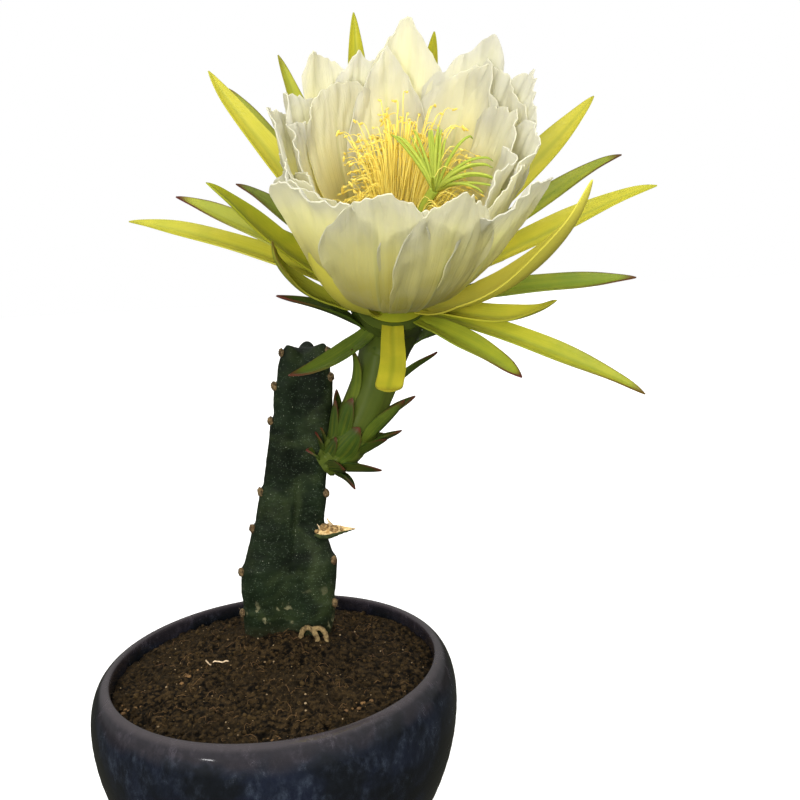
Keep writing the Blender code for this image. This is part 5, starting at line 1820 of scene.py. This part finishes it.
def stamen_paths():
    """The centre line of every stamen."""
    for n in range(STAMEN_COUNT):
        az = radians(GOLDEN_ANGLE * n)
        az += 0.55 * sin(az + STAMEN_DENSE)
        share = (n + 0.5) / STAMEN_COUNT
        back = 0.5 - 0.5 * cos(az)
        left = max(0.0, -sin(az))
        # The outer threads and those at the back reach farther and rise higher; at the left they crowd
        reach = (STAMEN_REACH + OUTER_REACH * share + BACK_REACH * back) * (1 - LEFT_CROWDING * left)
        reach += 0.003 * rng.normal()
        rise = STAMEN_HEIGHT + BACK_HEIGHT * back + UNEVEN_HEIGHT * sin(5.1 * n) + 0.005 * rng.normal()
        start = STAMEN_START[0] + STAMEN_START[1] * share
        sway = STAMEN_SWAY * rng.normal()
        droop = 0.004 + 0.005 * rng.random() + 0.006 * (1 - back) * rng.random()
        out = start + reach * STAMEN_RISE[:, 0] + np.array((0, 0, 0, 0.001, droop))
        up = STAMEN_CORE[1] - ROOT_SINK + rise * STAMEN_RISE[:, 1] + np.array((0, 0, 0, 0, -0.9 * droop))
        yield smooth_path(in_frame(FLOWER, out, sway * STAMEN_RISE[:, 1] ** 2, up, az), STAMEN_ROWS)


paths = list(stamen_paths())
print(len(paths), "stamens")

# %% Filaments and anthers


def make_filaments():
    template, angle, along = skin_grid(4, STAMEN_ROWS - 1)
    radii = np.interp(np.linspace(0, 1, STAMEN_ROWS), (0, 0.8, 1.0), (1.25, 0.85, 0.6)) * STAMEN_RADIUS
    shapes = [pipe(path, radii)(angle, along) for path in paths]
    return merge(copies("stamen_filaments", template, shapes, [(rng.random(), 0, 0) for _ in paths]))


def make_anthers():
    anther, ball = sphere(2)
    ball *= (1 - 0.32 * np.exp(-(ball[:, 1] / 0.25) ** 2) * (ball[:, 2] > 0))[:, None]
    shapes, marks = [], []
    for path in paths:
        ahead = path[-1] - path[-2]
        basis = frame_of(ahead + 0.5 * np.linalg.norm(ahead) * rng.normal(size=3))
        size = ANTHER_SIZE * (0.8 + 0.4 * rng.random())
        shapes.append(path[-1] + (ball * size) @ basis)
        marks.append((rng.random(), 0, 0))
    return copies("stamen_anthers", anther, shapes, marks)


def thread_material(name, one, two, dark, through):
    """A thread that goes from one colour to the other, some of them darker."""
    mat, tree, shader = new_material(name)
    body = mixed(tree, map_shares(tree)[1], one, two)
    body = wash(tree, body, mark_of(tree)["X"], 0.5, dark)
    body = wash(tree, body, cloud_mask(tree, 900.0, 4.0, 0.3, 0.7), 0.25, dark)
    plug(tree, shader, {"Base Color": body, "Roughness": 0.55})
    let_through(tree, shader, {"Color": body}, through)
    return mat


THREAD = thread_material("filament", paint(248, 244, 164), paint(254, 242, 138), paint(248, 226, 102), 0.5)
dress(make_filaments(), THREAD, ["stamens"])
dress(collar_grid("stamen_ring", STAMEN_CORE, (0.2, 0, 0)), THREAD)
POLLEN = thread_material("anther", paint(250, 232, 116), paint(252, 238, 146), paint(234, 202, 82), 0.25)
dress(make_anthers(), POLLEN)

# %% [markdown]
# ## The pistil
# A stout style stands in the middle and ends in a star of slender green lobes: a fan that stands up and
# leans left, and arches that bend over to the right. Each lobe is a tube along a short path, with a
# groove on its inner side, and one table says how far each path reaches out and up.

# %% Pistil measures
STIGMA_OUT = 0.019
STIGMA_UP = 0.076
LOBES_BELOW = 0.0015            # how far under the style's end the lobes begin
STYLE_RADIUS = 0.0022
LOBE_LENGTH = 0.034
LOBE_RISE = np.array(((0.0, 0.0), (0.25, 0.36), (0.55, 0.68), (0.85, 0.94), (1.0, 1.0)))
LOBE_ARCH = np.array(((0.0, 0.0), (0.24, 0.60), (0.55, 0.98), (0.85, 1.06), (1.0, 0.92)))
ARCHED_FROM = 0.7               # how far to the right a lobe points from which it takes the arch
# Lobes: az, then how far each reaches out and up, as shares of its length
LEFT_FAN = tuple((175 + 6 * k, 0.38 + 0.04 * k, 0.84 - 0.02 * k) for k in range(11))
RIGHT_ARCHES = (
    (150, 0.50, 0.74),
    (128, 0.66, 0.62),
    (112, 0.78, 0.56),
    (100, 0.90, 0.46),
    (92, 0.96, 0.42),
    (86, 0.88, 0.40),
    (78, 0.98, 0.34),
    (68, 0.84, 0.34),
    (96, 0.80, 0.54),
    (30, 0.50, 0.52),
    (330, 0.44, 0.60),
)
LOBE_ROWS = 20
STYLE_ROWS = 30
STYLE_RISE = np.array(((0.0, 0.0), (0.15, 0.33), (0.5, 0.67), (1.0, 1.0)))
STYLE_FOOT = PETAL_COLLAR[1] + 0.0003
print(len(LEFT_FAN) + len(RIGHT_ARCHES), "lobes")

# %% Style and lobes


def make_style():
    template, angle, along = skin_grid(24, 60)
    out = STIGMA_OUT * STYLE_RISE[:, 0]
    up = STYLE_FOOT + (STIGMA_UP - STYLE_FOOT) * STYLE_RISE[:, 1]
    path = smooth_path(in_frame(FLOWER, out, 0 * out, up, pi / 2), STYLE_ROWS)
    skin = pipe(path, np.linspace(STYLE_RADIUS, STYLE_RADIUS * 1.25, STYLE_ROWS))
    swell = 0.00012 * np.sin(9 * angle) * smooth(along, 0.0, 0.3)
    return merge(copies("style", template, [skin(angle, along, swell)], [(0.2, 0, 0)]))


def make_lobes():
    template, angle, along = skin_grid(8, 30)
    height = np.array([STIGMA_UP - LOBES_BELOW])
    top = in_frame(FLOWER, np.array([STIGMA_OUT]), np.array([0.0]), height, pi / 2)[0]
    hub = (top, OUT, OUT_FRONT, OUT_RIGHT)
    radii = np.interp(np.linspace(0, 1, LOBE_ROWS), (0, 0.3, 0.8, 1.0), (0.0009, 0.00095, 0.0006, 0.00018))
    groove = -0.00028 * np.exp(-((angle - 1.2) / 0.5) ** 2) * np.sin(pi * along)
    shapes, marks = [], []
    for az, spread, rise in LEFT_FAN + RIGHT_ARCHES:
        spread *= LOBE_LENGTH * (1 + 0.06 * rng.normal())
        rise *= LOBE_LENGTH * (1 + 0.09 * rng.normal())
        az = radians(az + 9 * rng.normal())
        rows = LOBE_ARCH if sin(az) > ARCHED_FROM else LOBE_RISE
        sway = 0.0030 * rng.normal() * rows[:, 0] ** 2
        out = 0.0008 + spread * rows[:, 0]
        path = smooth_path(in_frame(hub, out, sway, rise * rows[:, 1], az), LOBE_ROWS)
        shapes.append(pipe(path, radii)(angle, along, groove))
        marks.append((rng.random(), 0, 0))
    return merge(copies("stigma_lobes", template, shapes, marks))


STIGMA = thread_material("stigma", paint(204, 208, 92), paint(182, 198, 80), paint(142, 166, 54), 0.35)
dress(make_style(), STIGMA, ["pistil"])
dress(make_lobes(), STIGMA)

# %% [markdown]
# ## Finish
# The sizes of the model before and after dressing are the cell's last value.

# %% Finish
[[list(map(float, corner)) for corner in box] for box in (cad_box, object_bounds())]
